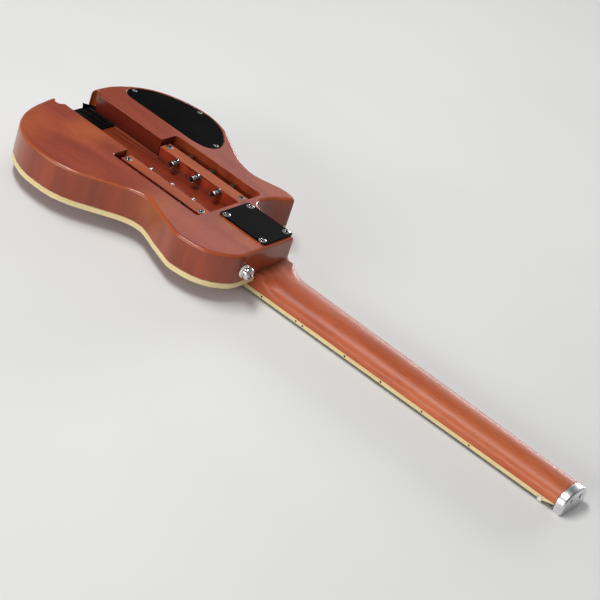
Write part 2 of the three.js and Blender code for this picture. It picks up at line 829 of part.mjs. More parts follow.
function makeBridge(room) {
  const plateX = [-scaleLength - bridgePlateLength / 2, -scaleLength + bridgePlateLength / 2];
  const plateZ = [bodyFrontZ - clearance - bridgePlateThickness, bodyFrontZ - clearance];
  const plate = block(plateX, [-bridgePlateWidth / 2, bridgePlateWidth / 2], plateZ);
  const half = saddleBlockLength / 2;
  const side = [
    new THREE.Vector2(-scaleLength - half, plateZ[1]),
    new THREE.Vector2(-scaleLength - half, saddleCrown * 2),
    new THREE.Vector2(-scaleLength - half + saddleCrown, saddleCrown / 2),
    new THREE.Vector2(-scaleLength - saddleCrown / 2, 0),
    new THREE.Vector2(-scaleLength + saddleCrown / 2, 0),
    new THREE.Vector2(-scaleLength + half - saddleCrown, saddleCrown / 2),
    new THREE.Vector2(-scaleLength + half, saddleCrown * 2),
    new THREE.Vector2(-scaleLength + half, plateZ[1]),
  ];
  const saddles = drawAcross(side, -saddleBlockWidth / 2, saddleBlockWidth / 2);
  return cut(join(plate, saddles), room);
}

function makePickup() {
  const x = [-pickupReach - pickupLength / 2, -pickupReach + pickupLength / 2];
  const y = [-pickupWidth / 2, pickupWidth / 2];
  return raise(roundedRectangle(x, y, pickupCorner), pickupTopZ, pickupTopZ + pickupHeight);
}

function makePickupRing() {
  const outer = roundedRectangle([-pickupReach - ringLength / 2, -pickupReach + ringLength / 2],
    [-ringWidth / 2, ringWidth / 2], ringCorner);
  const inner = roundedRectangle(
    [-pickupReach - pickupLength / 2 - clearance, -pickupReach + pickupLength / 2 + clearance],
    [-pickupWidth / 2 - clearance, pickupWidth / 2 + clearance], pickupCorner);
  const top = bodyFrontZ - clearance;
  return cut(raise(outer, top - ringHeight, top), raise(inner, top - ringHeight - overrun, top + overrun));
}

function makeGuide(room) {
  const inner = slotHalfWidth - clearance;
  const plate = block([-tongueReach - noseRadius / 2, -guideReach], [-inner, inner],
    [slotFloorZ + clearance, guideTopZ]);
  const noseEnds = sides.map((side) => point(-noseCentreReach, side * inner, noseCentreZ));
  const nose = rod(noseEnds[0], noseEnds[1], noseRadius, bigSides);
  const tongue = block([-tongueReach - clearance, 0], [-bodyHalfWidth, bodyHalfWidth],
    [0, slotFloorZ + clearance]);
  const ears = sides.map((side) => {
    const foot = point(-earReach, side * earY, noseCentreZ - noseRadius);
    return rod(foot, foot.clone().setZ(guideTopZ), earRadius, bigSides);
  });
  const clear = block([-tongueReach - clearance, 0], [-inner, inner], [0, slotFloorZ + clearance]);
  return cut(join(cut(nose, tongue), plate, ears), clear, room);
}

// Controls

function makePot() {
  const front = bodyFrontZ - potBushingReach;
  const back = cavityFloorZ + clearance + potHeight;
  const bore = potShaftRadius + clearance;
  const profile = [
    [bore, 0], [potBushingRadius, 0], [potBushingRadius, cavityFloorZ + clearance - front],
    [potRadius, cavityFloorZ + clearance - front], [potRadius, back - front], [0, back - front],
    [0, back - front - potHeight / 3], [bore, back - front - potHeight / 3], [bore, 0],
  ];
  return turned(profile, point(-knobReach, knobY, front), up);
}

function makeKnob() {
  const skirt = knobTopZ + knobHeight;
  const shaftEnd = cavityFloorZ + potHeight / 2;
  const recessRadius = potBushingRadius + 2 * clearance;
  const profile = [
    [0, 0], [knobRadius - 2 * knobEdge, 0], [knobRadius - knobEdge, knobEdge],
    [knobRadius, knobHeight - knobEdge], [knobRadius - knobEdge, knobHeight],
    [recessRadius, knobHeight], [recessRadius, knobHeight - knobRecess],
    [potShaftRadius, knobHeight - knobRecess], [potShaftRadius, shaftEnd - skirt + knobHeight],
    [0, shaftEnd - skirt + knobHeight],
  ];
  return turned(profile, point(-knobReach, knobY, knobTopZ), up);
}

function makeJack() {
  const inner = jackCupY + clearance + jackNutThickness - jackLength;
  const nutFace = jackCupY + clearance - inner;
  const bodyFace = jackBodyY - inner;
  const profile = [
    [jackBore, 0], [jackBodyRadius, 0], [jackBodyRadius, bodyFace], [jackSleeveRadius, bodyFace],
    [jackSleeveRadius, nutFace], [jackNutRadius, nutFace], [jackNutRadius, jackLength],
    [jackBore, jackLength], [jackBore, 0],
  ];
  return turned(profile, point(-jackReach, inner, bodyMiddleZ), across);
}

function makeCover() {
  return cut(raise(coverOutline(), bodyBackZ - coverThickness, bodyBackZ), coverScrews.map(screwRoom));
}

// Neck, fretboard, nut and end block

function makeNeck() {
  const endX = neckWoodPastNut - clearance;
  const heelX = -heelReach;
  const pocketDepth = pocketFloorZ - clearance - gluePlaneZ;
  const riseStart = heelX + heelRiseLength;
  const rings = [neckRing(endX, neckDepth, roundPower), neckRing(riseStart, neckDepth, roundPower)];
  for (const [along, depthShare, squareShare] of heelRiseShares) {
    const depth = neckDepth + (heelFlatDepth - neckDepth) * depthShare;
    const power = roundPower + (squarePower - roundPower) * squareShare;
    rings.push(neckRing(riseStart - heelRiseLength * along, depth, power));
  }
  rings.push(neckRing(heelX - clearance, heelFlatDepth, squarePower));
  rings.push(neckRing(heelX - clearance - (pocketDepth - heelFlatDepth), pocketDepth, squarePower));
  rings.push(neckRing(-neckEndReach, pocketDepth, squarePower));
  const blank = loft(rings, (p) => new THREE.Vector2(-p.y, p.z));
  return cut(blank, plateScrews.map(screwRoom), blockScrews.map(screwRoom));
}

function boardSide(withFrets) {
  const bottom = gluePlaneZ - clearance;
  const endX = neckWoodPastNut - clearance;
  const nutFloor = boardFrontZ + nutSlotDepth;
  const outline = [
    [boardEndX, bottom], [boardEndX, boardFrontZ],
  ];
  if (withFrets) {
    for (let number = fretCount; number > 0; number -= 1) {
      const x = fretX(number);
      const crown = fretWidth / 4;
      outline.push([x - fretWidth / 2, boardFrontZ], [x - crown, fretTopZ], [x + crown, fretTopZ]);
      outline.push([x + fretWidth / 2, boardFrontZ]);
    }
  }
  outline.push([-clearance, boardFrontZ], [-clearance, nutFloor], [nutLength + clearance, nutFloor]);
  outline.push([nutLength + clearance, boardFrontZ], [endX, bottom - rampLip], [endX, bottom]);
  return outline.map(([x, z]) => new THREE.Vector2(x, z));
}

function makeBoard() {
  const half = neckHalfWidth(boardEndX);
  const endX = neckWoodPastNut;
  const plan = raise(neckPlan(boardEndX - overrun, endX, -sideStripWidth - clearance), 0, gluePlaneZ);
  return drawAcross(boardSide(true), -half, half).intersect(plan);
}

function makeSideStrip(side) {
  const half = neckHalfWidth(boardEndX);
  const outer = raise(neckPlan(boardEndX - overrun, neckWoodPastNut, 0), 0, gluePlaneZ);
  const inner = raise(neckPlan(boardEndX - 2 * overrun, neckWoodPastNut + overrun, -sideStripWidth),
    -overrun, gluePlaneZ + overrun);
  const y = [0, side * half].sort((a, b) => a - b);
  return cut(drawAcross(boardSide(false), y[0], y[1]).intersect(outer), inner);
}

function makeNut(room) {
  const half = neckHalfWidth(0);
  return cut(block([0, nutLength], [-half, half], [nutTopZ, boardFrontZ + nutSlotDepth - clearance]), room);
}

function makeEndBlock(room) {
  const ring = neckRing(neckWoodPastNut, neckDepth, roundPower, bigSides);
  const half = neckHalfWidth(neckWoodPastNut);
  const backRing = (x, shrink) => ring.map((p) => {
    const middle = gluePlaneZ;
    return point(x, p.y * (1 - shrink / half), middle + (p.z - middle) * (1 - shrink / neckDepth));
  });
  const section = (x, shrink) => {
    return [...backRing(x, shrink), point(x, half - shrink, shrink), point(x, -half + shrink, shrink)];
  };
  const solid = loft([
    section(blockEnd, blockBevel), section(blockEnd - blockBevel, 0), section(neckWoodPastNut, 0),
  ], (p) => new THREE.Vector2(-p.y, p.z));
  const tools = [];
  for (let i = 0; i < stringDiameters.length; i += 1) {
    const seat = stringStations(i)[0];
    const reach = ballRadius + clearance;
    const slit = stringDiameters[i] / 2 + clearance;
    tools.push(block([seat.x - reach, seat.x + reach], [seat.y - reach, seat.y + reach],
      [-overrun, seat.z + reach]));
    tools.push(block([neckWoodPastNut - overrun, seat.x], [seat.y - slit, seat.y + slit],
      [-overrun, seat.z + slit]));
  }
  return cut(solid, tools, room, blockScrews.map(screwRoom));
}

function makePlate() {
  const x = [-plateReach - plateLength / 2, -plateReach + plateLength / 2];
  const y = [-plateWidth / 2 - plateShift, plateWidth / 2 - plateShift];
  const outline = roundedRectangle(x, y, plateCorner);
  return cut(raise(outline, bodyBackZ + clearance, plateTopZ), plateScrews.map(screwRoom));
}

// Strap buttons

// The place on the body's wall at a share of its half width, and the way out from it
function wallAt(share, towards) {
  const outline = bodyOutline();
  const y = share * bodyHalfWidth;
  let best = null;
  outline.forEach((here, i) => {
    const next = outline[(i + 1) % outline.length];
    if ((here.y - y) * (next.y - y) < 0) {
      const x = here.x + (next.x - here.x) * (y - here.y) / (next.y - here.y);
      if (best === null || x * towards > best.x * towards) {
        best = { x, along: next.clone().sub(here).normalize() };
      }
    }
  });
  const direction = point(best.along.y, -best.along.x, 0);
  return { foot: point(best.x, y, bodyMiddleZ).addScaledVector(direction, clearance), direction };
}

function strapSeats() {
  return [wallAt(shoulderStrapShare, 1), wallAt(tailStrapShare, -1)];
}

function makeStrapButton({ foot, direction }) {
  const lip = strapHeight - strapHeight / 4;
  const profile = [
    [0, -strapScrewLength], [strapScrewRadius, -strapScrewLength], [strapScrewRadius, 0], [strapFoot, 0],
    [strapWaist, strapHeight / 3], [strapWaist, strapHeight / 2], [strapRadius, lip],
    [strapRadius, lip + strapHeight / 8], [strapRadius - strapHeight / 8, strapHeight], [0, strapHeight],
  ];
  return turned(profile, foot, direction);
}

// Finishes

function finish(color, roughness, metalness) {
  return new THREE.MeshStandardMaterial({ color, roughness, metalness });
}

const mahogany = finish(0x9c5038, 0.32, 0);
const neckWood = finish(0xa8604a, 0.45, 0);
const railWood = finish(0x8a4a34, 0.5, 0);
const rosewood = finish(0x2b1a14, 0.5, 0);
const cream = finish(0xe4d3a0, 0.4, 0);
const blackPlastic = finish(0x111111, 0.4, 0);
const blackMetal = finish(0x0e0e10, 0.3, 0.6);
const chrome = finish(0xd8d8dc, 0.12, 1);
const polished = finish(0xe0e2e6, 0.15, 1);
const steel = finish(0xb9bcc0, 0.3, 1);
const bone = finish(0xeee8d8, 0.4, 0);

// Assembly

const guitar = new THREE.Group();

function add(name, solid, material) {
  const mesh = new THREE.Mesh(toGeometry(solid), material);
  mesh.name = name;
  guitar.add(mesh);
}

const room = stringRoom();
add('body', makeBody(), mahogany);
add('body_binding_bass', makeBinding(-1), cream);
add('body_binding_treble', makeBinding(1), cream);
add('neck', makeNeck(), neckWood);
add('fretboard', makeBoard(), rosewood);
add('fretboard_binding_bass', makeSideStrip(-1), cream);
add('fretboard_binding_treble', makeSideStrip(1), cream);
add('nut', makeNut(room), bone);
add('string_end_block', makeEndBlock(room), polished);
add('neck_plate', makePlate(), blackMetal);
add('control_cover', makeCover(), blackPlastic);
add('bridge', makeBridge(room), chrome);
add('tail_string_guide', makeGuide(room), blackMetal);
add('pickup', makePickup(), blackPlastic);
add('pickup_ring', makePickupRing(), blackPlastic);
add('volume_pot', makePot(), steel);
add('volume_knob', makeKnob(), blackPlastic);
add('output_jack', makeJack(), chrome);

const sideNames = { '-1': 'bass', 1: 'treble' };
for (const side of sides) {
  add(`tuner_rail_${sideNames[side]}`, makeRail(side), railWood);
}
tuners.forEach((tuner, i) => {
  const label = i + 1;
  add(`tuner_housing_${label}`, makeHousing(tuner), chrome);
  add(`tuner_post_${label}`, makePost(tuner), chrome);
  add(`tuner_button_${label}`, makeButton(tuner), chrome);
  add(`string_${label}`, makeString(i), steel);
});

const screwSets = { neck: plateScrews, block: blockScrews, rail: railScrews, cover: coverScrews };
for (const [set, screws] of Object.entries(screwSets)) {
  screws.forEach((sizes, i) => add(`${set}_screw_${i + 1}`, makeScrew(sizes), chrome));
}
strapSeats().forEach((seat, i) => {
  add(`strap_button_${['shoulder', 'tail'][i]}`, makeStrapButton(seat), chrome);
});

const extent = new THREE.Box3().setFromObject(guitar);
guitar.position.x = -(extent.min.x + extent.max.x) / 2;

export default guitar;
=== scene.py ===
"""Travel guitar, lying face down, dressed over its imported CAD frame. Metres."""
import json
import math

import bmesh
import bpy
from mathutils import Matrix, Vector


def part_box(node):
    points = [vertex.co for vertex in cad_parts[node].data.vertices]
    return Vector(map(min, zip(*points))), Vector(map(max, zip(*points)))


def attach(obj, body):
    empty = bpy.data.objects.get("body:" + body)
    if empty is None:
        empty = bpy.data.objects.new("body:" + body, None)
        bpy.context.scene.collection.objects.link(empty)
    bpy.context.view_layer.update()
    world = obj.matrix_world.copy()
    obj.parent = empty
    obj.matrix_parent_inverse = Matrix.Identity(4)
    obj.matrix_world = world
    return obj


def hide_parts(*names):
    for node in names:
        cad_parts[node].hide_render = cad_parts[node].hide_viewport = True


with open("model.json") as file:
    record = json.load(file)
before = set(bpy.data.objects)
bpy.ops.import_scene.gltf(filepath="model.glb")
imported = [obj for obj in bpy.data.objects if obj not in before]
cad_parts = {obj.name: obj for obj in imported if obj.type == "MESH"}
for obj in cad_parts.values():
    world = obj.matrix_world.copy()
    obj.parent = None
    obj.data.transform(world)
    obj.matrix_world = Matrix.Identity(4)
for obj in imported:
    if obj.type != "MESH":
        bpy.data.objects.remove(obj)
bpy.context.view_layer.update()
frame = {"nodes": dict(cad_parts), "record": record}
nodes = frame["nodes"]
slots = {part["node"]: part["material_slot"] for part in frame["record"]["subparts"]}
bodies = frame["record"]["behaviour"]["bodies"]
rides = {node: body for body, members in bodies.items() for node in members}
MM = 0.001
UP = Vector((0.0, 0.0, 1.0))
ACROSS = Vector((0.0, 1.0, 0.0))
ALONG = Vector((1.0, 0.0, 0.0))
WELD_GAP = 0.01 * MM
FLAT_ANGLE = math.radians(0.5)

# Neck and strings
STRINGS = 6
WIRES = [wire * MM for wire in (1.2, 1.0, 0.8, 0.6, 0.5, 0.4)]
NUT_X = 330.794 * MM
SCALE = 628.65 * MM
BOARD_Z = 3.6 * MM
NUT_HALF_WIDTH = 21.35 * MM
NECK_TAPER = 0.0151
FRETS = 22
MARKED_FRETS = (3, 5, 7, 9, 12, 15, 17, 19, 21)
OCTAVE = 12

# Camera: fitted to the photograph
CAMERA_PLACE = Vector((0.908914, -1.553065, 1.08543))
AZIMUTH = math.radians(30.265)
ELEVATION = math.radians(30.839)
ROLL = math.radians(19.334)
LENS = 123.42
SENSOR = 36.0

# Studio: each lamp's name, place, target, size, power in watts and spread in degrees
LAMPS = (
    ("key", (-0.62, -0.55, 2.0), (0.0, 0.0, 0.0), (1.4, 0.28), 27.0, 180.0),
    ("front", (-0.3, -2.0, 0.6), (0.0, 0.0, 0.0), (2.6, 0.5), 6.5, 80.0),
    ("back", (-0.1, 1.9, 0.38), (0.0, 0.0, 0.0), (1.8, 0.3), 3.5, 60.0),
    ("sheen", (-0.42, 0.6, 0.46), (-0.07, 0.0, 0.05), (0.35, 0.3), 0.2, 180.0),
)
WORLD_COLOR = (0.9, 0.9, 0.9, 1.0)
WORLD_STRENGTH = 0.22
FLOOR_HALF = 6.0
FLOOR_Z = -0.2 * MM

# Stain on the body: patches are given by their middle and reach; the stain is thin in all of them but
# the last, which is a painted highlight. Painted shade darkens the slot's upright walls.
AMBER = (0.5, 0.11, 0.018)
# Painted shade for the upright walls of the slot and its well
PAINTED_SLOT_SHADE = (0.13, 0.014, 0.005)
THIN_STAIN_AND_HIGHLIGHT_PATCHES = (
    ((-0.33, -0.1, 0.05), 0.06),
    ((-0.285, -0.045, 0.057), 0.045),
    ((-0.15, -0.085, 0.05), 0.045),
    ((-0.085, -0.026, 0.057), 0.028),
    ((-0.056, -0.033, 0.057), 0.024),
    # painted highlight at the tail end of the slot, not a thin stain
    ((-0.3455, 0.032, 0.035), 0.016),
)
# The box of the slot and its well, whose upright walls take painted shade
ROUTED_X = (-342.0 * MM, -238.5 * MM)
ROUTED_Y = (-51.5 * MM, 51.5 * MM)
ROUTED_SOFT = 0.3 * MM

# Screw heads, with painted shade in their cross recesses
HEAD_SPREAD = 1.15
RECESS_ARM = 0.66
RECESS_SLOPE = 0.4
RECESS_SHADE = 0.3


def add_camera():
    data = bpy.data.cameras.new("photo_camera")
    data.lens = LENS
    data.sensor_width = SENSOR
    data.clip_start = 0.05
    data.clip_end = 20.0
    camera = bpy.data.objects.new("photo_camera", data)
    bpy.context.scene.collection.objects.link(camera)
    flat = math.cos(ELEVATION)
    forward = Vector((-math.sin(AZIMUTH) * flat, math.cos(AZIMUTH) * flat, -math.sin(ELEVATION)))
    right = Vector((math.cos(AZIMUTH), math.sin(AZIMUTH), 0.0))
    up = right.cross(forward)
    rolled_right = math.cos(ROLL) * right + math.sin(ROLL) * up
    rolled_up = -math.sin(ROLL) * right + math.cos(ROLL) * up
    facing = Matrix((rolled_right, rolled_up, -forward)).transposed()
    camera.matrix_world = Matrix.Translation(CAMERA_PLACE) @ facing.to_4x4()
    bpy.context.scene.camera = camera


def add_lamp(name, place, target, size, power, spread):
    data = bpy.data.lights.new(name, "AREA")
    data.shape = "RECTANGLE"
    data.size, data.size_y = size
    data.energy = power
    data.spread = math.radians(spread)
    lamp = bpy.data.objects.new(name, data)
    lamp.location = place
    lamp.rotation_euler = (Vector(target) - Vector(place)).to_track_quat("-Z", "Y").to_euler()
    bpy.context.scene.collection.objects.link(lamp)


def add_floor():
    mesh = bpy.data.meshes.new("floor")
    signs = ((-1, -1), (1, -1), (1, 1), (-1, 1))
    corners = [(x * FLOOR_HALF, y * FLOOR_HALF, FLOOR_Z) for x, y in signs]
    mesh.from_pydata(corners, [], [(0, 1, 2, 3)])
    floor = bpy.data.objects.new("floor", mesh)
    bpy.context.scene.collection.objects.link(floor)
    mesh.materials.append(floor_paint())


def add_studio():
    world = bpy.data.worlds.new("studio")
    world.use_nodes = True
    background = world.node_tree.nodes["Background"]
    background.inputs["Color"].default_value = WORLD_COLOR
    background.inputs["Strength"].default_value = WORLD_STRENGTH
    bpy.context.scene.world = world
    for lamp in LAMPS:
        add_lamp(*lamp)
    add_floor()


# Shader nodes

def new_material(name, roughness, metallic=0.0, coat=0.0, coat_roughness=0.1, specular=0.5):
    material = bpy.data.materials.new(name)
    material.use_nodes = True
    tree = material.node_tree
    shader = tree.nodes["Principled BSDF"]
    shader.inputs["Roughness"].default_value = roughness
    shader.inputs["Metallic"].default_value = metallic
    shader.inputs["Coat Weight"].default_value = coat
    shader.inputs["Coat Roughness"].default_value = coat_roughness
    shader.inputs["Specular IOR Level"].default_value = specular
    return material, tree, shader


def own_place(tree):
    return tree.nodes.new("ShaderNodeTexCoord").outputs["Object"]


def noise(tree, stretch, scale, detail=4.0, rough=0.5, distortion=0.0):
    """Noise over the piece's own place, drawn out along the axes where stretch is small."""
    mapping = tree.nodes.new("ShaderNodeMapping")
    mapping.inputs["Scale"].default_value = stretch
    texture = tree.nodes.new("ShaderNodeTexNoise")
    texture.inputs["Scale"].default_value = scale
    texture.inputs["Detail"].default_value = detail
    texture.inputs["Roughness"].default_value = rough
    texture.inputs["Distortion"].default_value = distortion
    tree.links.new(own_place(tree), mapping.inputs["Vector"])
    tree.links.new(mapping.outputs["Vector"], texture.inputs["Vector"])
    return texture.outputs["Fac"]


def ramp(tree, factor, stops):
    node = tree.nodes.new("ShaderNodeValToRGB")
    elements = node.color_ramp.elements
    while len(elements) < len(stops):
        elements.new(0.5)
    for element, (position, color) in zip(elements, stops):
        element.position = position
        element.color = (*color, 1.0)
    tree.links.new(factor, node.inputs["Fac"])
    return node.outputs["Color"]


def remapped(tree, value, start, end, low=0.0, high=1.0, kind="LINEAR"):
    """Carries the range from start to end over to low to high, and holds it outside."""
    node = tree.nodes.new("ShaderNodeMapRange")
    node.interpolation_type = kind
    node.inputs["From Min"].default_value = start
    node.inputs["From Max"].default_value = end
    node.inputs["To Min"].default_value = low
    node.inputs["To Max"].default_value = high
    tree.links.new(value, node.inputs["Value"])
    return node.outputs["Result"]


def span(tree, factor, low, high):
    """Spreads a noise's middle range over low to high."""
    return remapped(tree, factor, 0.3, 0.7, low, high)


def mixed(tree, factor, first, second, kind="MIX"):
    node = tree.nodes.new("ShaderNodeMix")
    node.data_type = "RGBA"
    node.blend_type = kind
    tree.links.new(factor, node.inputs["Factor"])
    for value, socket in ((first, node.inputs[6]), (second, node.inputs[7])):
        if isinstance(value, tuple):
            socket.default_value = (*value, 1.0)
        else:
            tree.links.new(value, socket)
    return node.outputs[2]


def combined(tree, operation, first, second):
    node = tree.nodes.new("ShaderNodeMath")
    node.operation = operation
    tree.links.new(first, node.inputs[0])
    tree.links.new(second, node.inputs[1])
    return node.outputs["Value"]


def bump(tree, shader, height, strength, distance):
    node = tree.nodes.new("ShaderNodeBump")
    node.inputs["Strength"].default_value = strength
    node.inputs["Distance"].default_value = distance
    tree.links.new(height, node.inputs["Height"])
    tree.links.new(node.outputs["Normal"], shader.inputs["Normal"])


def facing_up(tree):
    """1 on level faces and 0 on upright ones."""
    geometry = tree.nodes.new("ShaderNodeNewGeometry")
    split = tree.nodes.new("ShaderNodeSeparateXYZ")
    size = tree.nodes.new("ShaderNodeMath")
    size.operation = "ABSOLUTE"
    tree.links.new(geometry.outputs["Normal"], split.inputs["Vector"])
    tree.links.new(split.outputs["Z"], size.inputs[0])
    return size.outputs["Value"]


def between(tree, value, low, high, soft):
    """1 where a value lies between low and high, and 0 elsewhere, with soft limits."""
    above = remapped(tree, value, low - soft, low + soft)
    below = remapped(tree, value, high + soft, high - soft)
    return combined(tree, "MULTIPLY", above, below)


# Wood

def patches(tree):
    """1 in the middle of the patches and 0 away from them; the stain is thin in all the patches but
    the last, which is a painted highlight.
    """
    place = own_place(tree)
    total = None
    for centre, reach in THIN_STAIN_AND_HIGHLIGHT_PATCHES:
        gap = tree.nodes.new("ShaderNodeVectorMath")
        gap.operation = "DISTANCE"
        gap.inputs[1].default_value = centre
        tree.links.new(place, gap.inputs[0])
        share = remapped(tree, gap.outputs["Value"], reach, 0.1 * reach, kind="SMOOTHSTEP")
        total = combined(tree, "MAXIMUM", total, share) if total else share
    return total


def rounded_edges(tree):
    """1 on the rounded edges, and 0 on level and upright faces."""
    return between(tree, facing_up(tree), 0.25, 0.9, 0.1)


def slot_shade_mask(tree):
    """1 on the upright walls of the slot, where shade is painted."""
    split = tree.nodes.new("ShaderNodeSeparateXYZ")
    tree.links.new(own_place(tree), split.inputs["Vector"])
    inside = combined(tree, "MULTIPLY", between(tree, split.outputs["X"], *ROUTED_X, ROUTED_SOFT),
                      between(tree, split.outputs["Y"], *ROUTED_Y, ROUTED_SOFT))
    upright = remapped(tree, facing_up(tree), 0.7, 0.2)
    return combined(tree, "MULTIPLY", inside, upright)


def amber_patches_and_edges(tree, amber, share):
    """Raises the share of amber in the patches and on the rounded edges; the stain is thin in all the
    patches but the last, which is a painted highlight.
    """
    patch_amber = combined(tree, "MULTIPLY", patches(tree), span(tree, amber, 0.75, 0.95))
    edge_amber = combined(tree, "MULTIPLY", rounded_edges(tree), span(tree, amber, 0.6, 1.0))
    share = combined(tree, "MAXIMUM", share, patch_amber)
    return combined(tree, "MAXIMUM", share, edge_amber)


def shade(color, factor):
    return tuple(factor * value for value in color)


def grain(tree, colors, share, bands, streaks):
    """Broad bands with amber in them, crossed by fine streaks and short dark pores."""
    dark, middle, light = colors
    broad = ramp(tree, bands, [(0.38, dark), (0.5, middle), (0.62, light)])
    broad = mixed(tree, share, broad, AMBER)
    fine = ramp(tree, streaks, [(0.3, shade(middle, 0.72)), (0.7, light)])
    fine_share = noise(tree, (0.5, 2.0, 2.0), 25.0, 2.0)
    color = mixed(tree, span(tree, fine_share, 0.15, 0.45), broad, fine)
    pores = noise(tree, (0.05, 1.0, 1.0), 1400.0, 2.0, 0.5)
    pore_mask = ramp(tree, pores, [(0.33, (0.62, 0.5, 0.45)), (0.4, (1.0, 1.0, 1.0))])
    return mixed(tree, span(tree, bands, 0.5, 0.9), color, pore_mask, "MULTIPLY")


def wood(name, colors, roughness, coat, coat_roughness, side=None, stained_and_shaded=False):
    """Lacquered wood with its grain along X; side is the colour of its upright faces, kept darker than
    the level faces as painted shade.
    """
    material, tree, shader = new_material(name, roughness, coat=coat,
                                          coat_roughness=coat_roughness, specular=0.15)
    bands = noise(tree, (0.3, 1.8, 1.8), 14.0, 4.0, 0.55, 0.8)
    streaks = noise(tree, (0.06, 1.0, 1.0), 420.0, 5.0, 0.6, 0.2)
    amber = noise(tree, (0.6, 1.0, 1.0), 11.0, 1.0)
    share = span(tree, amber, 0.0, 0.3)
    if stained_and_shaded:
        share = amber_patches_and_edges(tree, amber, share)
    color = grain(tree, colors, share, bands, streaks)
    # Upright faces take the darker side colour and a darker amber: painted shade.
    if side:
        figure = noise(tree, (1.0, 1.0, 0.12), 75.0, 3.0)
        wall = ramp(tree, figure, [(0.36, shade(side, 0.78)), (0.64, shade(side, 1.2))])
        if stained_and_shaded:
            wall = mixed(tree, share, wall, shade(AMBER, 0.6))
        color = mixed(tree, facing_up(tree), wall, color)
    # The upright walls of the slot are painted darker as shade.
    if stained_and_shaded:
        color = mixed(tree, slot_shade_mask(tree), color, PAINTED_SLOT_SHADE)
    tree.links.new(color, shader.inputs["Base Color"])
    gloss = span(tree, streaks, roughness - 0.05, roughness + 0.07)
    tree.links.new(gloss, shader.inputs["Roughness"])
    bump(tree, shader, streaks, 0.02, 0.2 * MM)
    return material


def rosewood():
    material, tree, shader = new_material("rosewood", 0.5)
    streaks = noise(tree, (0.04, 1.0, 1.0), 380.0, 5.0, 0.6, 0.3)
    color = ramp(tree, streaks, [(0.3, (0.012, 0.006, 0.004)), (0.55, (0.035, 0.016, 0.01)),
                                 (0.75, (0.07, 0.03, 0.018))])
    tree.links.new(color, shader.inputs["Base Color"])
    bump(tree, shader, streaks, 0.3, 0.3 * MM)
    return material


# Other finishes

def plastic(name, low, high, roughness, scale=300.0, strength=0.05, specular=0.5):
    """Slight mottling, a soft change of gloss and a faint orange-peel surface."""
    material, tree, shader = new_material(name, roughness, specular=specular)
    mottle = noise(tree, (1.0, 1.0, 1.0), 40.0, 3.0)
    peel = noise(tree, (1.0, 1.0, 1.0), scale, 2.0)
    color = ramp(tree, mottle, [(0.3, low), (0.7, high)])
    tree.links.new(color, shader.inputs["Base Color"])
    gloss = span(tree, mottle, roughness - 0.05, roughness + 0.05)
    tree.links.new(gloss, shader.inputs["Roughness"])
    bump(tree, shader, peel, strength, 0.1 * MM)
    return material


def binding():
    """Cream celluloid with long soft streaks and uneven yellowing."""
    material, tree, shader = new_material("cream", 0.38)
    streaks = noise(tree, (0.2, 0.2, 1.0), 160.0, 3.0)
    age = noise(tree, (1.0, 1.0, 1.0), 14.0, 3.0)
    clean = ramp(tree, streaks, [(0.3, (0.7, 0.55, 0.27)), (0.7, (0.82, 0.68, 0.37))])
    color = mixed(tree, span(tree, age, 0.0, 0.35), clean, (0.66, 0.47, 0.2))
    tree.links.new(color, shader.inputs["Base Color"])
    tree.links.new(span(tree, age, 0.32, 0.44), shader.inputs["Roughness"])
    return material


def metal(name, color, roughness, stretch=(1.0, 1.0, 1.0), scale=900.0, strength=0.03):
    """Bare or plated metal: small change of gloss, faint tarnish and fine marks."""
    material, tree, shader = new_material(name, roughness, metallic=1.0)
    tarnish = noise(tree, (1.0, 1.0, 1.0), 90.0, 4.0)
    marks = noise(tree, stretch, scale, 3.0)
    tone = ramp(tree, tarnish, [(0.3, shade(color, 0.82)), (0.6, color)])
    tree.links.new(tone, shader.inputs["Base Color"])
    gloss = span(tree, marks, roughness * 0.8, roughness * 1.4)
    tree.links.new(gloss, shader.inputs["Roughness"])
    bump(tree, shader, marks, strength, 0.1 * MM)
    return material


def floor_paint():
    material, tree, shader = new_material("floor_paint", 0.9)
    mottle = noise(tree, (1.0, 1.0, 1.0), 3.0, 2.0)
    color = ramp(tree, mottle, [(0.3, (0.78, 0.78, 0.77)), (0.7, (0.82, 0.82, 0.81))])
    tree.links.new(color, shader.inputs["Base Color"])
    return material


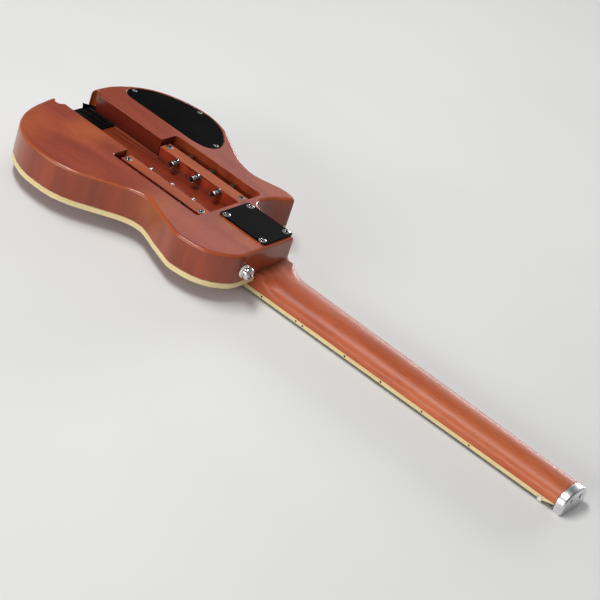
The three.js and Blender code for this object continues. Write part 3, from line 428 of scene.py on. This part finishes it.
def make_finishes():
    mahogany = ((0.2, 0.019, 0.008), (0.28, 0.032, 0.012), (0.38, 0.06, 0.025))
    neck_wood = ((0.34, 0.055, 0.019), (0.46, 0.09, 0.031), (0.54, 0.13, 0.048))
    rail_wood = ((0.36, 0.065, 0.024), (0.46, 0.1, 0.038), (0.54, 0.15, 0.058))
    return {
        # The side colours of mahogany and rail wood are painted shade on their upright faces.
        "mahogany": wood("mahogany", mahogany, 0.4, 0.9, 0.17, (0.25, 0.036, 0.011), True),
        "neck_wood": wood("neck_wood", neck_wood, 0.42, 0.45, 0.38),
        "rail_wood": wood("rail_wood", rail_wood, 0.42, 0.3, 0.3, (0.28, 0.032, 0.011)),
        "rosewood": rosewood(),
        "cream": binding(),
        "bone": plastic("bone", (0.7, 0.66, 0.54), (0.82, 0.79, 0.69), 0.4),
        "black_plastic": plastic("black_plastic", (0.002, 0.002, 0.002),
                                 (0.004, 0.004, 0.004), 0.42, specular=0.02),
        "black_metal": plastic("black_metal", (0.003, 0.003, 0.004),
                               (0.005, 0.005, 0.006), 0.36, 700.0, 0.12, specular=0.03),
        "chrome": metal("chrome", (0.75, 0.75, 0.77), 0.12),
        "polished": metal("polished", (0.8, 0.8, 0.82), 0.3, (1.0, 0.05, 1.0), 1200.0),
        "steel": metal("steel", (0.09, 0.08, 0.075), 0.45, (0.2, 1.0, 1.0), 1500.0, 0.1),
        "fret_metal": metal("fret_metal", (0.6, 0.58, 0.54), 0.2, (1.0, 0.1, 1.0)),
        "steel_bright": metal("steel_bright", (0.55, 0.54, 0.52), 0.25),
        # Dark metal of the gear cases, tinted brown as a painted reflection of the wood around them
        "dark_metal": metal("dark_metal", (0.12, 0.085, 0.06), 0.45, scale=500.0, strength=0.1),
        "nickel": metal("nickel", (0.45, 0.44, 0.43), 0.16),
        "felt": plastic("felt", (0.62, 0.58, 0.5), (0.78, 0.75, 0.68), 0.9, 900.0, 0.4,
                        specular=0.2),
        "pearl": plastic("pearl", (0.6, 0.6, 0.56), (0.85, 0.84, 0.8), 0.25, 60.0, 0.1),
        # Black for the side dots, and painted shade in screw recesses and on post ends
        "ink_and_painted_shade": plastic("ink_and_painted_shade", (0.004, 0.004, 0.004), (0.009, 0.008, 0.008), 0.5, specular=0.1),
    }


# Mesh helpers

def add_piece(name, form, node, smooth_angle, finish=None):
    """Makes a piece from a bmesh: it rides with the node's body and takes the node's slot."""
    mesh = bpy.data.meshes.new(name)
    bmesh.ops.recalc_face_normals(form, faces=form.faces)
    for face in form.faces:
        face.smooth = True
    form.to_mesh(mesh)
    form.free()
    mesh.set_sharp_from_angle(angle=math.radians(smooth_angle))
    piece = bpy.data.objects.new(name, mesh)
    bpy.context.scene.collection.objects.link(piece)
    mesh.materials.append(finishes[finish or slots[node]])
    # Faces marked 1 take black as painted shade.
    if any(polygon.material_index for polygon in mesh.polygons):
        mesh.materials.append(finishes["ink_and_painted_shade"])
    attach(piece, rides[node])
    return piece


def soften(piece, bevel, angle, segments):
    modifier = piece.modifiers.new("edges", "BEVEL")
    modifier.limit_method = "ANGLE"
    modifier.angle_limit = math.radians(angle)
    modifier.width = bevel
    modifier.segments = segments
    modifier.use_clamp_overlap = False
    modifier.miter_outer = "MITER_ARC"


def even_normals(piece):
    modifier = piece.modifiers.new("normals", "WEIGHTED_NORMAL")
    modifier.keep_sharp = True
    modifier.weight = 100


def refine(node, bevel=0.0, angle=50.0, segments=2):
    """A welded form of a node with softened edges and smooth shading, shown while the node is hidden.
    """
    form = bmesh.new()
    form.from_mesh(nodes[node].data)
    bmesh.ops.remove_doubles(form, verts=form.verts, dist=WELD_GAP)
    bmesh.ops.dissolve_limit(form, angle_limit=FLAT_ANGLE, verts=form.verts, edges=form.edges)
    piece = add_piece(node + "_form", form, node, angle)
    if bevel:
        soften(piece, bevel, angle, segments)
    even_normals(piece)
    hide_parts(node)


def in_mm(*pairs):
    """Pairs of lengths given in millimetres, in metres."""
    return [(first * MM, second * MM) for first, second in pairs]


def frame_of(axis):
    """Two directions square to an axis, and the axis itself."""
    axis = axis.normalized()
    first = axis.orthogonal().normalized()
    return first, axis.cross(first), axis


def join_rings(form, low, high, sides):
    """Faces between two rings, each of which may be a single point."""
    for step in range(sides):
        after = (step + 1) % sides
        corners = [low[step % len(low)], low[after % len(low)],
                   high[after % len(high)], high[step % len(high)]]
        corners = list(dict.fromkeys(corners))
        if len(corners) > 2:
            form.faces.new(corners)


def turn(form, profile, foot, axis, sides=32, ripple=None):
    """Adds a solid turned from (radius, along) points.

    ripple is the first and last ring that get ribs, and their depth.
    """
    first, second, third = frame_of(axis)
    rings = []
    for index, (radius, along) in enumerate(profile):
        middle = foot + third * along
        if radius == 0.0:
            rings.append([form.verts.new(middle)])
            continue
        ring = []
        for step in range(sides):
            angle = 2 * math.pi * step / sides
            reach = radius
            if ripple and ripple[0] <= index <= ripple[1]:
                reach = radius * (1 - ripple[2] * (step % 2))
            out = first * reach * math.cos(angle) + second * reach * math.sin(angle)
            ring.append(form.verts.new(middle + out))
        rings.append(ring)
    for low, high in zip(rings, rings[1:]):
        join_rings(form, low, high, sides)


def add_block(form, low, high, edge):
    """A box with rounded edges."""
    made = bmesh.ops.create_cube(form, size=1.0)["verts"]
    middle = (low + high) / 2
    size = high - low
    for vertex in made:
        vertex.co = middle + Vector(vertex.co[axis] * size[axis] for axis in range(3))
    edges = list({side for vertex in made for side in vertex.link_edges})
    bmesh.ops.bevel(form, geom=edges, offset=edge, segments=3, profile=0.5, affect="EDGES")


def add_coil(form, start, axis, radius, wire, turns, steps=22, sides=8):
    """Wire wound closely round an axis."""
    first, second, third = frame_of(axis)
    rings = []
    total = int(steps * turns)
    for index in range(total + 1):
        angle = 2 * math.pi * index / steps
        out = first * math.cos(angle) + second * math.sin(angle)
        centre = start + out * (radius + wire) + third * (2 * wire * index / steps)
        ring = []
        for step in range(sides):
            around = 2 * math.pi * step / sides
            rim = out * wire * math.cos(around) + third * wire * math.sin(around)
            ring.append(form.verts.new(centre + rim))
        rings.append(ring)
    for low, high in zip(rings, rings[1:]):
        join_rings(form, low, high, sides)
    form.faces.new(list(reversed(rings[0])))
    form.faces.new(rings[-1])


# Screws

def bar_depth(across, along, arm, half):
    """0 outside one bar of a cross-shaped recess and 1 in its middle."""
    inside = max(0.0, min(1.0, (half - abs(across)) / (RECESS_SLOPE * half)))
    reach = max(0.0, min(1.0, (arm - abs(along)) / (RECESS_SLOPE * arm)))
    return inside * reach


def cross_depth(x, y, radius, cut):
    arm = RECESS_ARM * radius
    half = cut * radius
    return max(bar_depth(x, y, arm, half), bar_depth(y, x, arm, half))


def screw_head(form, centre, axis, radius, rise, depth, rings=10, sides=40, cut=0.2):
    """A domed head with a cross recess painted dark as shade; centre is the middle of its rim's plane.
    """
    first, second, third = frame_of(axis)
    rows = []
    for index in range(rings + 1):
        reach = radius * index / rings
        row = []
        for step in range(sides if index else 1):
            angle = 2 * math.pi * step / sides
            x = reach * math.cos(angle)
            y = reach * math.sin(angle)
            height = rise * (1 - (reach / radius) ** 2)
            height -= depth * cross_depth(x, y, radius, cut)
            row.append(form.verts.new(centre + first * x + second * y + third * height))
        rows.append(row)
    for low, high in zip(rows, rows[1:]):
        for step in range(sides):
            after = (step + 1) % sides
            corners = [low[step % len(low)], high[step], high[after], low[after % len(low)]]
            face = form.faces.new(list(dict.fromkeys(corners)))
            out = face.calc_center_median() - centre
            # Faces deep in the recess take black as painted shade.
            if cross_depth(out.dot(first), out.dot(second), radius, cut) > RECESS_SHADE:
                face.material_index = 1


def add_screw(node, axis, radius, head, dome, cut=0.2):
    """A countersunk screw with an oval head, in the place of the node."""
    low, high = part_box(node)
    middle = (Vector(low) + Vector(high)) / 2
    size = Vector(high) - Vector(low)
    length = abs(size.dot(axis))
    crown = middle + axis * length / 2
    width = min(size.x, size.y) if abs(axis.z) > 0.5 else min(size.y, size.z)
    head_radius = HEAD_SPREAD * width / 2
    recess = 1.5 * dome
    form = bmesh.new()
    rim = crown - axis * dome
    screw_head(form, rim, axis, head_radius, dome, recess, cut=cut)
    shank = [(head_radius, 0.0), (head_radius, -0.25 * head), (radius, -head),
             (radius, -length + dome), (0.0, -length + dome)]
    turn(form, shank, rim, axis, 24)
    piece = add_piece(node + "_form", form, node, 55.0)
    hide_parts(node)


def add_screws():
    for number in range(1, 5):
        add_screw(f"neck_screw_{number}", UP, 2.2 * MM, 2.4 * MM, 0.9 * MM)
        add_screw(f"rail_screw_{number}", UP, 1.7 * MM, 2.0 * MM, 0.7 * MM)
    for number in range(1, 4):
        add_screw(f"cover_screw_{number}", UP, 1.3 * MM, 1.5 * MM, 0.6 * MM)
    for number in range(1, 3):
        add_screw(f"block_screw_{number}", ALONG, 1.7 * MM, 2.0 * MM, 0.7 * MM, 0.45)


# Tuners: a post with its wire, a gear case with its worm, a bushing and a button

def add_tuner(number):
    post = f"tuner_post_{number}"
    low, high = (Vector(corner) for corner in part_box(post))
    side = -1 if low.y < 0 else 1
    middle = (low + high) / 2
    tip = Vector((middle.x, high.y if side < 0 else low.y, middle.z))
    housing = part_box(f"tuner_housing_{number}")
    face = housing[1][1] if side < 0 else housing[0][1]
    add_post(number, post, tip, side, high.y - low.y, face)
    add_housing(number, side, face)
    add_button(number)


def add_post(number, post, tip, side, length, face):
    """A post with a rounded cap, its end painted dark as shade, and its string wound between cap and
    rail.
    """
    wire = WIRES[number - 1] / 2
    waist = 2.95 * MM
    cap_length = 1.4 * MM
    mid_winding = (abs(tip.y) + cap_length + abs(face)) / 2 - abs(tip.y)
    to_rail = ACROSS * side
    form = bmesh.new()
    cap = in_mm((0.0, 0.0), (2.7, 0.0), (3.5, 0.25), (3.9, 0.8), (3.8, 1.3), (3.1, 1.7))
    stem = [(waist, mid_winding), (3.1 * MM, length), (0.0, length)]
    turn(form, cap + stem, tip, to_rail, 28)
    add_coil(form, tip + to_rail * (mid_winding - 2 * wire), to_rail, waist, wire, 2.0)
    # The end of the post takes black as painted shade.
    for end in form.faces:
        if (end.calc_center_median() - tip).dot(to_rail) < 0.05 * MM:
            end.material_index = 1
    piece = add_piece(post + "_form", form, post, 50.0, "nickel")
    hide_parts(post)


def add_housing(number, side, face):
    """A gear case with a worm barrel, and a bushing in the rail's face."""
    node = f"tuner_housing_{number}"
    low, high = (Vector(corner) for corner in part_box(node))
    post_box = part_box(f"tuner_post_{number}")
    post_x = (post_box[0][0] + post_box[1][0]) / 2
    post_z = (post_box[0][2] + post_box[1][2]) / 2
    depth = 8.8 * MM
    case_radius = 4.4 * MM
    barrel_inset = 3.4 * MM
    outer = high.y if side > 0 else low.y
    inner = outer - side * depth
    near, far = sorted((inner, outer))
    form = bmesh.new()
    add_block(form, Vector((post_x - case_radius, near, low.z)), Vector((high.x, far, post_z)),
              0.8 * MM)
    case = in_mm((0.0, 0.0), (4.2, 0.0), (4.4, 0.3), (4.4, 7.6), (4.0, 8.2), (3.0, 8.4),
                 (2.2, 8.4), (2.0, 8.8), (0.0, 8.8))
    turn(form, case, Vector((post_x, inner, post_z)), ACROSS * side, 28)
    barrel = in_mm((0.0, 0.0), (3.1, 0.0), (3.4, 0.4), (3.4, 6.9), (2.9, 7.7), (1.2, 8.1),
                   (0.0, 8.1))
    turn(form, barrel, Vector((high.x - barrel_inset, (inner + outer) / 2, low.z)), UP, 28)
    # The gear case's brown tint is a painted reflection of the wood.
    piece = add_piece(node + "_form", form, node, 45.0, "dark_metal")
    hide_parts(node)
    reach = abs(inner - face)
    ring = bmesh.new()
    flange = in_mm((3.8, 1.0), (4.9, 1.0), (4.9, 0.3), (4.6, 0.0), (4.0, 0.0), (3.8, -0.3),
                   (3.5, -0.3), (3.4, 0.0))
    bushing = [(3.4 * MM, reach), (3.8 * MM, reach), *flange, (3.4 * MM, reach)]
    turn(ring, bushing, Vector((post_x, face, post_z)), ACROSS * side, 32)
    add_piece(f"tuner_bushing_{number}", ring, node, 45.0, "nickel")


def swell(value, power):
    """A sine or cosine made fuller, with its sign kept."""
    return math.copysign(abs(value) ** power, value)


def add_grip(form, centre, half):
    """The kidney of a tuner button, with a shallow waist on its lower side."""
    sides = 40
    rows = 12
    rings = []
    for row in range(rows + 1):
        swing = math.pi * (row / rows - 0.5)
        spread = abs(math.cos(swing)) ** 0.45
        offset = swell(math.sin(swing), 0.8) * half.y
        if row in (0, rows):
            rings.append([form.verts.new(Vector((centre.x, centre.y + offset, centre.z)))])
            continue
        ring = []
        for step in range(sides):
            angle = 2 * math.pi * step / sides
            waist = 1 - 0.1 * math.exp(-((math.sin(angle) + 1) / 0.25) ** 2)
            x = swell(math.cos(angle), 0.9) * half.x * spread
            z = swell(math.sin(angle), 0.9) * half.z * spread * waist
            ring.append(form.verts.new(centre + Vector((x, offset, z))))
        rings.append(ring)
    for low, high in zip(rings, rings[1:]):
        join_rings(form, low, high, sides)


def add_button(number):
    """A kidney of plated metal on its shaft, turned by the fingers at the front."""
    node = f"tuner_button_{number}"
    low, high = (Vector(corner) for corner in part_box(node))
    middle = (low + high) / 2
    half = Vector(((high.x - low.x) / 2, (high.y - low.y) / 2, 6.0 * MM))
    form = bmesh.new()
    add_grip(form, Vector((middle.x, middle.y, low.z + half.z)), half)
    neck = 2 * half.z
    top = high.z - low.z
    shaft = [(0.0, half.z), (2.3 * MM, half.z), (2.5 * MM, neck), (2.5 * MM, neck + 0.7 * MM),
             (2.2 * MM, neck + 1.0 * MM), (1.6 * MM, neck + 1.0 * MM), (1.6 * MM, top), (0.0, top)]
    turn(form, shaft, Vector((middle.x, middle.y, low.z)), UP, 24)
    piece = add_piece(node + "_form", form, node, 50.0)
    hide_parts(node)


# Strap buttons

def mean(points):
    return sum(points, Vector()) / len(points)


def corner_points(name):
    """A node's vertices, each place once."""
    vertices = nodes[name].data.vertices
    places = {tuple(round(value, 6) for value in vertex.co) for vertex in vertices}
    return [Vector(place) for place in sorted(places)]


def strap_axis(name):
    """The way out of the wall for a strap button: from the tip of its screw to its middle."""
    points = corner_points(name)
    middle = mean(points)
    tip = max(points, key=lambda point: (point - middle).length)
    tips = [point for point in points if (point - tip).length < 4 * MM]
    return (middle - mean(tips)).normalized()


def add_strap_button(name, axis):
    """A felt washer, and a mushroom of plated metal held by a cross-slot screw."""
    points = corner_points(name)
    crown = max(point.dot(axis) for point in points)
    centre = mean([point for point in points if point.dot(axis) > crown - 0.01 * MM])
    height = 10.0 * MM
    foot = centre - axis * height
    felt = bmesh.new()
    washer = in_mm((1.8, 0.0), (6.8, 0.0), (7.2, 0.5), (7.2, 2.3), (6.8, 2.7), (1.8, 2.7),
                   (1.8, 0.0))
    turn(felt, washer, foot, axis, 40)
    add_piece(name + "_washer", felt, name, 40.0, "felt")
    form = bmesh.new()
    cap = in_mm((0.0, 2.8), (6.0, 2.8), (5.6, 3.4), (5.6, 4.2), (6.4, 4.7), (7.0, 5.3),
                (7.3, 6.2), (7.25, 7.3), (6.8, 8.4), (5.9, 9.3), (4.8, 9.8), (4.1, 9.7),
                (3.7, 8.4), (0.0, 8.4))
    turn(form, cap, foot, axis, 40)
    rim = foot + axis * 8.9 * MM
    screw_head(form, rim, axis, 3.5 * MM, 1.0 * MM, 1.3 * MM)
    turn(form, in_mm((3.5, 0.0), (3.4, -0.6), (0.0, -0.6)), rim, axis, 40)
    turn(form, in_mm((0.0, -22.0), (1.6, -19.0), (1.6, 0.0), (0.0, 0.0)), foot, axis, 20)
    piece = add_piece(name + "_form", form, name, 50.0)
    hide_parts(name)


# Neck: fret wires, inlays and side dots

def fret_x(number):
    return NUT_X - SCALE * (1 - 2 ** (-number / 12))


def half_width(x):
    return NUT_HALF_WIDTH + NECK_TAPER * (NUT_X - x)


def add_fret_wires():
    """Domed wires with sloping ends, sunk a little into the fretboard."""
    wire_half = 1.27 * MM
    wire_height = 1.06 * MM
    edge_inset = 1.9 * MM
    sunk = 0.05 * MM
    steps = 8
    form = bmesh.new()
    for number in range(1, FRETS + 1):
        x = fret_x(number)
        half = half_width(x) - edge_inset
        rows = []
        for side, reach, height in ((-1, -0.1, 0.4), (-1, 0.25, 1.0), (1, 0.25, 1.0), (1, -0.1, 0.4)):
            row = []
            for step in range(steps + 1):
                angle = math.pi * step / steps
                drop = wire_height * math.sin(angle) * height
                row.append(form.verts.new((x - wire_half * math.cos(angle), side * (half + reach * MM),
                                           BOARD_Z + sunk - drop)))
            rows.append(row)
        for low, high in zip(rows, rows[1:]):
            for step in range(steps):
                form.faces.new((low[step], low[step + 1], high[step + 1], high[step]))
        form.faces.new(rows[0])
        form.faces.new(list(reversed(rows[3])))
    add_piece("fret_wires", form, "fretboard", 60.0, "fret_metal")


def add_dots():
    """A dot in each marked space and one at its side, and two of each at the octave."""
    inlay = in_mm((0.0, 0.0), (3.0, 0.0), (3.0, 0.33), (2.8, 0.36), (0.0, 0.36))
    side_dot = in_mm((0.0, 0.0), (1.05, 0.0), (1.05, 0.27), (0.95, 0.3), (0.0, 0.3))
    inlay_shift = 9.0 * MM
    side_shift = 4.5 * MM
    side_z = 5.8 * MM
    front = bmesh.new()
    side = bmesh.new()
    for number in MARKED_FRETS:
        x = (fret_x(number - 1) + fret_x(number)) / 2
        pair = number == OCTAVE
        for shift in (-inlay_shift, inlay_shift) if pair else (0.0,):
            turn(front, inlay, Vector((x, shift, BOARD_Z + 0.3 * MM)), -UP, 28)
        for shift in (-side_shift, side_shift) if pair else (0.0,):
            edge = -half_width(x + shift) + 0.25 * MM
            turn(side, side_dot, Vector((x + shift, edge, side_z)), -ACROSS, 20)
    add_piece("fretboard_dots", front, "fretboard", 50.0, "pearl")
    add_piece("side_dots", side, "fretboard_binding_bass", 50.0, "ink_and_painted_shade")


# Bridge, pickup, knob, pot and jack

def string_offset(index, spacing):
    return (index - 2.5) * spacing


def add_bridge():
    """A plate with an upturned edge and six saddles, each with a long sprung screw."""
    low, high = (Vector(corner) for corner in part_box("bridge"))
    middle_x = (low.x + high.x) / 2
    plate_z = high.z - 1.8 * MM
    edge_x = low.x + 1.6 * MM
    edge_y = 33 * MM
    mount_y = 35.6 * MM
    screw = in_mm((0.0, -1.9), (1.7, -1.7), (2.0, -1.2), (2.0, -0.4), (1.0, 0.0), (1.0, 6.0),
                  (0.0, 6.0))
    form = bmesh.new()
    add_block(form, Vector((low.x, low.y, plate_z)), high.copy(), 0.7 * MM)
    add_block(form, Vector((low.x, -edge_y, 4.5 * MM)), Vector((edge_x, edge_y, high.z - 0.5 * MM)),
              0.6 * MM)
    for index in range(STRINGS):
        y = string_offset(index, 10.4 * MM)
        add_saddle(form, middle_x, y, plate_z)
        start = Vector((edge_x, y, 8.2 * MM)) + ALONG * 1.9 * MM
        turn(form, screw, start, ALONG, 16)
        add_coil(form, start, ALONG, 1.1 * MM, 0.25 * MM, 5.0, 14, 6)
    for side in (-1, 1):
        for shift in (-6 * MM, 7 * MM):
            rim = Vector((middle_x + shift, side * mount_y, high.z - 1.9 * MM))
            screw_head(form, rim, -UP, 1.9 * MM, 0.7 * MM, 0.8 * MM, 6, 24)
    piece = add_piece("bridge_form", form, "bridge", 45.0)
    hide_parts("bridge")


def saddle_rows(form, x, y):
    """The saddle's crowned top, with a groove for the string along its middle."""
    half = 4.7 * MM
    groove_depth = 0.75 * MM
    groove_width = 0.22
    shoulder_drop = 0.8 * MM
    steps = 8
    profile = in_mm((-4.6, 6.0), (-4.2, 3.2), (-2.6, 1.7), (-0.8, 0.75), (0.8, 0.75), (2.6, 1.9),
                    (4.4, 4.0), (4.8, 7.0))
    rows = []
    for along, rise in profile:
        row = []
        for step in range(steps + 1):
            share = 2 * step / steps - 1
            groove = groove_depth * math.exp(-(share / groove_width) ** 2)
            shoulder = shoulder_drop * abs(share) ** 4
            row.append(form.verts.new((x + along, y + share * half, rise + groove + shoulder)))
        rows.append(row)
    return rows


def add_saddle(form, x, y, base):
    """A block with a crowned, grooved top, on two height screws."""
    rows = saddle_rows(form, x, y)
    for low, high in zip(rows, rows[1:]):
        for step in range(len(low) - 1):
            form.faces.new((low[step], low[step + 1], high[step + 1], high[step]))
    rim = [row[0] for row in rows] + rows[-1][1:] + [row[-1] for row in reversed(rows[:-1])]
    rim += list(reversed(rows[0][1:-1]))
    feet = [form.verts.new((vertex.co.x, vertex.co.y, base)) for vertex in rim]
    for index, vertex in enumerate(rim):
        after = (index + 1) % len(rim)
        form.faces.new((vertex, rim[after], feet[after], feet[index]))
    form.faces.new(feet)
    screw = [(0.0, 0.0), (1.1 * MM, 0.0), (1.1 * MM, base - 1.5 * MM), (0.8 * MM, base - 1.2 * MM),
             (0.5 * MM, base - 1.2 * MM), (0.5 * MM, base - 2.2 * MM), (0.0, base - 2.2 * MM)]
    half_spacing = 3.2 * MM
    for side in (-1, 1):
        foot = Vector((x + 1.0 * MM, y + side * half_spacing, base))
        turn(form, screw, foot, -UP, 12)


def add_pickup():
    """Two coils side by side under a moulded face, and their poles."""
    low, high = (Vector(corner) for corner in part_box("pickup"))
    middle = (low + high) / 2
    face = low.z + 0.5 * MM
    half_gap = 0.25 * MM
    inset = Vector((2 * MM, 2 * MM, 0.0))
    form = bmesh.new()
    for side in (-1, 1):
        inner = middle.x + side * half_gap
        outer = middle.x + side * (high.x - low.x) / 2
        near, far = sorted((inner, outer))
        add_block(form, Vector((near, low.y, face)), Vector((far, high.y, high.z)), 1.3 * MM)
    add_block(form, Vector((low.x, low.y, face + 1 * MM)) + inset, high - inset, 0.5 * MM)
    piece = add_piece("pickup_form", form, "pickup", 45.0)
    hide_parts("pickup")
    add_poles(middle.x, face)


def add_poles(middle_x, face):
    """A row of plain poles in one coil and a row of slotted screws in the other."""
    coil_shift = 8.6 * MM
    pole = in_mm((0.0, 0.0), (2.5, 0.0), (2.5, 1.2), (2.2, 1.45), (0.0, 1.45))
    poles = bmesh.new()
    for index in range(STRINGS):
        y = string_offset(index, 10.2 * MM)
        turn(poles, pole, Vector((middle_x - coil_shift, y, face + 1 * MM)), -UP, 24)
        rim = Vector((middle_x + coil_shift, y, face - 0.1 * MM))
        screw_head(poles, rim, -UP, 2.4 * MM, 0.4 * MM, 0.7 * MM, 8, 28)
        turn(poles, in_mm((2.4, 0.0), (2.4, -1.0), (0.0, -1.0)), rim, -UP, 28)
    add_piece("pickup_poles", poles, "pickup", 45.0, "steel_bright")


def add_ring_screws():
    """Four small screws in the corners of the pickup's ring."""
    low, high = (Vector(corner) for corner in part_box("pickup_ring"))
    half_spacing = 16.5 * MM
    edge_gap = 4.2 * MM
    form = bmesh.new()
    for side in (-1, 1):
        for end in (-1, 1):
            x = (low.x + high.x) / 2 + end * half_spacing
            y = side * (high.y - edge_gap)
            rim = Vector((x, y, low.z + 0.1 * MM))
            screw_head(form, rim, -UP, 1.9 * MM, 0.6 * MM, 0.7 * MM, 8, 24)
            turn(form, in_mm((1.9, 0.0), (1.2, -1.2), (0.0, -1.2)), rim, -UP, 24)
    add_piece("pickup_ring_screws", form, "neck_screw_1", 45.0, "chrome")


def add_knob():
    """A ribbed knob with a dished face and a pale pointer."""
    low, high = (Vector(corner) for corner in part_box("volume_knob"))
    middle = (low + high) / 2
    radius = (high.x - low.x) / 2
    depth = high.z - low.z
    face = [(0.0, 0.5 * MM), (radius - 3.2 * MM, 0.35 * MM), (radius - 2.4 * MM, 0.0),
            (radius - 1.2 * MM, 0.0)]
    skirt = [(radius - 0.5 * MM, 0.8 * MM), (radius - 0.2 * MM, 2.2 * MM), (radius, 9.6 * MM),
             (radius, 10.4 * MM), (radius - 0.5 * MM, 11.0 * MM)]
    socket = in_mm((4.4, 11.0), (4.4, 8.0), (2.4, 8.0)) + [(2.4 * MM, depth), (0.0, depth)]
    form = bmesh.new()
    turn(form, face + skirt + socket, Vector((middle.x, middle.y, low.z)), UP, 72, (4, 6, 0.035))
    piece = add_piece("volume_knob_form", form, "volume_knob", 35.0)
    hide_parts("volume_knob")
    mark = bmesh.new()
    add_block(mark, Vector((middle.x + 2.0 * MM, middle.y - 0.5 * MM, low.z - 0.02 * MM)),
              Vector((middle.x + radius - 1.4 * MM, middle.y + 0.5 * MM, low.z + 0.6 * MM)), 0.12 * MM)
    add_piece("volume_knob_mark", mark, "volume_knob", 45.0, "bone")


def add_pot():
    """The can of the volume control on its neck, open in the middle for the knob's shaft."""
    low, high = (Vector(corner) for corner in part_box("volume_pot"))
    middle = (low + high) / 2
    shoulder = high.z - low.z - 7.5 * MM
    neck = in_mm((2.7, 0.0), (3.6, 0.0), (3.8, 0.3))
    can = ((3.8, 0.0), (7.4, 0.0), (8.0, 0.6), (8.0, 6.9), (7.3, 7.5), (0.0, 7.5), (0.0, 5.0),
           (2.7, 5.0))
    profile = neck + [(radius * MM, shoulder + along * MM) for radius, along in can]
    form = bmesh.new()
    turn(form, profile + [(2.7 * MM, 0.0)], Vector((middle.x, middle.y, low.z)), UP, 36)
    piece = add_piece("volume_pot_form", form, "volume_pot", 40.0)
    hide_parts("volume_pot")


def add_jack():
    """A threaded sleeve with a six-sided nut on a washer."""
    low, high = (Vector(corner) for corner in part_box("output_jack"))
    middle = (low + high) / 2
    foot = Vector((middle.x, low.y, middle.z))
    length = high.y - low.y
    nut_thickness = 2.4 * MM
    sleeve_length = 10.1 * MM
    thread_pitch = 0.6 * MM
    body = length - nut_thickness - sleeve_length
    profile = in_mm((3.3, 0.0), (6.4, 0.0), (6.8, 0.5)) + [(6.8 * MM, body), (4.8 * MM, body)]
    along = body
    while along < length - 2.8 * MM:
        profile += [(4.55 * MM, along + thread_pitch / 2), (4.8 * MM, along + thread_pitch)]
        along += thread_pitch
    profile += [(4.8 * MM, length - 0.6 * MM), (4.4 * MM, length - 0.1 * MM),
                (3.7 * MM, length - 0.1 * MM), (3.3 * MM, length - 0.6 * MM), (3.3 * MM, 0.0)]
    form = bmesh.new()
    turn(form, profile, foot, ACROSS, 36)
    face = foot + ACROSS * (length - nut_thickness)
    washer = in_mm((4.7, 0.0), (6.95, 0.0), (6.95, 0.5), (4.7, 0.5), (4.7, 0.0))
    turn(form, washer, face, ACROSS, 36)
    nut = in_mm((4.7, 0.5), (6.6, 0.5), (6.9, 0.8), (6.9, 1.9), (6.5, 2.3), (4.7, 2.3), (4.7, 0.5))
    turn(form, nut, face, ACROSS, 6)
    piece = add_piece("output_jack_form", form, "output_jack", 30.0)
    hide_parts("output_jack")


add_camera()
finishes = make_finishes()
add_studio()

for name, node in nodes.items():
    node.data.materials.clear()
    node.data.materials.append(finishes[slots[name]])

refine("body", 0.8 * MM, segments=3)
refine("neck", 0.0, 40.0)
for name in ("body_binding_bass", "body_binding_treble"):
    refine(name, 0.3 * MM)
for name in ("neck_plate", "control_cover"):
    refine(name, 0.35 * MM)
for name in ("tuner_rail_bass", "tuner_rail_treble"):
    refine(name, 0.6 * MM, segments=3)
refine("string_end_block", 0.3 * MM, 40.0)
refine("tail_string_guide", 0.3 * MM, 40.0)
add_screws()
for number in range(1, STRINGS + 1):
    add_tuner(number)
refine("fretboard", 0.0, 35.0)
refine("nut", 0.4 * MM, 40.0)
for name in ("fretboard_binding_bass", "fretboard_binding_treble"):
    refine(name, 0.2 * MM, 40.0)
refine("pickup_ring", 0.9 * MM, segments=3)
for number in range(1, STRINGS + 1):
    refine(f"string_{number}", 0.0, 50.0)
add_fret_wires()
add_dots()
add_bridge()
add_pickup()
add_ring_screws()
add_knob()
add_pot()
add_jack()
add_strap_button("strap_button_shoulder", strap_axis("strap_button_shoulder"))
add_strap_button("strap_button_tail", strap_axis("strap_button_tail"))

bpy.context.scene.view_settings.view_transform = "Standard"
